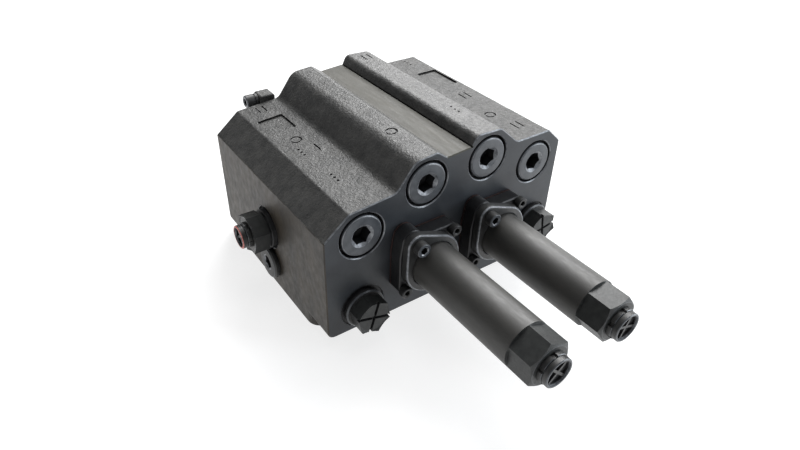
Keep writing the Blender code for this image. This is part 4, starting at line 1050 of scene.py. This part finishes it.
def spool_rings(front, back):
    """The rings of a spool's round part, from the root of its tongue to its drilled front end."""
    root = -TONGUE_LENGTH
    rings = [
        (0, root, "ground_steel"), (6.6, root, "worn_edge_and_highlight"),
        (SPOOL_RADIUS, root - 1.1, "ground_steel"),
    ]
    for y0, y1 in SPOOL_GROOVES[::-1]:
        rings += [
            (SPOOL_RADIUS, y1 - back, "ground_steel"), (SPOOL_NECK, y1 - back - 0.3, "ground_steel"),
            (SPOOL_NECK, y0 - back + 0.3, "ground_steel"), (SPOOL_RADIUS, y0 - back, "ground_steel"),
        ]
    tip = front - back
    rings += [
        (SPOOL_RADIUS, tip + 0.8, "ground_steel"), (SPOOL_RADIUS - 0.8, tip, "ground_steel"),
        (3.3, tip, "hollow_painted_shade"), (3.3, tip + 15, "hollow_painted_shade"), (0, tip + 15, "hollow_painted_shade"),
    ]
    return rings


def build_spools():
    outline = rounded([(0.0, -5.5, 3.6), (18.0, -5.5, 0.4), (18.0, 5.5, 0.4), (0.0, 5.5, 3.6)])
    levels = [
        (-3, 0.4, "worn_edge_and_highlight"), (-2.6, 0, "ground_steel"),
        (2.6, 0, "worn_edge_and_highlight"), (3, 0.4, "worn_edge_and_highlight"),
    ]
    for number in (1, 2):
        node = f"spool_{number}"
        low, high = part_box(node)
        local = face_frame(node, BACK)
        bm = bmesh.new()
        loft(bm, local, spool_rings(low.y / MM, high.y / MM))
        spool = solid(bm)
        side_on = local @ Matrix.Rotation(radians(90), 4, "Y")
        tongue = bmesh.new()
        slab(tongue, side_on, outline, levels, "ground_steel")
        carve(spool, tongue, "UNION")
        eye = bmesh.new()
        loft(eye, side_on @ Matrix.Translation((6, 0, 0)), [
            (0, 5, "ground_steel"), (5.8, 5, "worn_edge_and_highlight"), (3.4, 2.6, "ground_steel"),
            (3.4, -2.6, "worn_edge_and_highlight"), (5.8, -5, "ground_steel"), (0, -5, "ground_steel"),
        ])
        carve(spool, eye)
        hand_over(spool, f"spool_rod_{number}", node)


def coil(bm, matrix, radius, wire, turns, length):
    """A helix of round wire about local Z, from -length up to 0."""
    steps_a_turn, sides = 24, 8
    count = steps_a_turn * turns
    rings = []
    for step in range(count + 1):
        angle = 2 * pi * step / steps_a_turn
        rise = wire - length + (length - 2 * wire) * step / count
        ring = []
        for side in range(sides):
            across = 2 * pi * side / sides
            reach = radius + wire * cos(across)
            point = Vector((reach * cos(angle), reach * sin(angle), rise + wire * sin(across)))
            ring.append(bm.verts.new(matrix @ point))
        rings.append(ring)
    faces = [rings[0], rings[-1][::-1]]
    for low, high in zip(rings, rings[1:]):
        faces += [[low[side - 1], low[side], high[side], high[side - 1]] for side in range(sides)]
    for face in faces:
        bm.faces.new(face).material_index = FINISH_ORDER.index("spring_steel")


def build_springs():
    """Coil springs, fixed at one end in the valve and pressing on a part at the other, each built in
    place of its CAD node.
    """
    for node, facing, pressed, (radius, wire, turns) in SPRINGS:
        low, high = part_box(node)
        outwards = (facing.to_3x3() @ Vector((0, 0, 1))).normalized()
        length = abs((high - low).dot(outwards)) / MM
        local = face_frame(node, facing)
        bm = bmesh.new()
        coil(bm, local, radius, wire, turns, length)
        spring = solid(bm)
        finish_mesh(spring, f"coil_{node}")
        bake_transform(spring)
        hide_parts(node)


def build_rear_plates():
    for number in (1, 2):
        local = face_frame(f"rear_seal_plate_{number}", BACK)
        bm = bmesh.new()
        # The plate's front chamfer is worn and carries a painted highlight.
        levels = edged(6, 0.4, 0.8, "satin_black", "worn_edge_and_highlight")
        slab(bm, local, rectangle(16, 16, 3.0), levels, "satin_black")
        plate = solid(bm)
        holes = bmesh.new()
        bore(holes, local, [(8.0, 8)], mouth=0.8)
        for side in (1, 2):
            screw = face_frame(f"rear_screw_{number}_{side}", BACK).translation
            x, _, z = (screw - local.translation) / MM
            bore(holes, local @ Matrix.Translation((x, -z, 0)), [(SCREW_HOLE_RADIUS, 8)])
        carve(plate, holes)
        hand_over(plate, f"seal_plate_{number}", f"rear_seal_plate_{number}")


def build_service_block():
    low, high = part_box("service_block")
    half = (high - low) / 2 / MM
    local = face_frame("service_block", BACK)
    bm = bmesh.new()
    # The block's front chamfer is worn and carries a painted highlight.
    levels = edged(2 * half.y, 0.5, 1.0, "cast_skin", "worn_edge_and_highlight")
    slab(bm, local, rectangle(half.x, half.z, 1.6), levels, "cast_skin")
    block = solid(bm)
    holes = bmesh.new()
    for number in (1, 2):
        x, _, z = face_frame(f"service_screw_{number}", BACK).translation / MM
        bore(holes, spot(x, high.y / MM, z, BACK), [(SCREW_HOLE_RADIUS, 16)])
    carve(block, holes)
    hand_over(block, "service_manifold", "service_block")


def build_gauge_plug():
    bm = bmesh.new()
    loft(bm, face_frame("cross_plug", LEFT), socket_rings(4, 2.7, 3, "worn_edge_and_highlight") + [
        (3.6, 0, "worn_edge_and_highlight"), (4.2, -0.6, "satin_black"), (4.2, -5.4, "hollow_painted_shade"),
        (3.8, -5.6, "hollow_painted_shade"), (3.8, -6.4, "satin_black"), (4.2, -6.6, "satin_black"),
        (4.2, -8.2, "satin_black"), (0, -8.2, "satin_black"),
    ])
    hand_over(solid(bm), "gauge_plug", "cross_plug")


def finish_kept_nodes():
    """Gives the CAD nodes that nothing replaces a finish for what they are made of."""
    for name, node in frame["nodes"].items():
        if node.hide_render:
            continue
        finish = "gasket_fibre" if name.startswith("gasket") else "ground_steel"
        for place in node.material_slots:
            place.material = FINISHES[finish]


# --- floor, light and camera ------------------------------------------------------------------


def build_floor():
    bm = bmesh.new()
    bmesh.ops.create_grid(bm, x_segments=8, y_segments=8, size=FLOOR_HALF_SIZE)
    mesh = bpy.data.meshes.new("floor")
    bm.to_mesh(mesh)
    bm.free()
    floor = bpy.data.objects.new("floor", mesh)
    bpy.context.scene.collection.objects.link(floor)
    paper = make_finish(
        "floor_paper", dark=(0.35, 0.35, 0.35), light=(0.38, 0.38, 0.38), patch=40.0,
        roughness=(0.85, 0.95), bumps=[(2.0, 0.02), (1.0, 0.02)],
    )
    shader = paper.node_tree.nodes["Principled BSDF"]
    shader.inputs["Emission Color"].default_value = (1, 1, 1, 1)
    shader.inputs["Emission Strength"].default_value = FLOOR_GLOW
    mesh.materials.append(paper)


def add_softbox(name, position, aim, size, power, colour):
    light = bpy.data.lights.new(name, "AREA")
    light.shape = "RECTANGLE"
    light.size, light.size_y = size
    light.energy = power
    light.color = colour
    box = bpy.data.objects.new(name, light)
    bpy.context.scene.collection.objects.link(box)
    box.location = position
    box.rotation_euler = (Vector(aim) - Vector(position)).to_track_quat("-Z", "Y").to_euler()


def build_light():
    world = bpy.data.worlds.new("studio")
    world.use_nodes = True
    backdrop = world.node_tree.nodes["Background"]
    backdrop.inputs["Color"].default_value = WORLD_COLOUR
    backdrop.inputs["Strength"].default_value = WORLD_STRENGTH
    bpy.context.scene.world = world
    for softbox in SOFTBOXES:
        add_softbox(*softbox)


def build_camera():
    lens = bpy.data.cameras.new("camera")
    lens.lens = LENS_MM
    lens.sensor_width = 36.0
    lens.clip_start = 0.01
    camera = bpy.data.objects.new("camera", lens)
    bpy.context.scene.collection.objects.link(camera)
    axes = Matrix((CAMERA_RIGHT, CAMERA_UP, CAMERA_RIGHT.cross(CAMERA_UP)))
    camera.matrix_world = Matrix.Translation(CAMERA_AT) @ axes.transposed().to_4x4()
    bpy.context.scene.camera = camera


build_casting()
build_front_plugs()
build_check_caps()
build_side_plug()
build_cap_screws()
build_plates()
build_flanges()
build_tubes()
build_adjusters()
build_relief_body()
build_spools()
build_springs()
build_rear_plates()
build_service_block()
build_gauge_plug()
finish_kept_nodes()
build_floor()
build_light()
build_camera()
bpy.context.scene.view_settings.view_transform = "Standard"
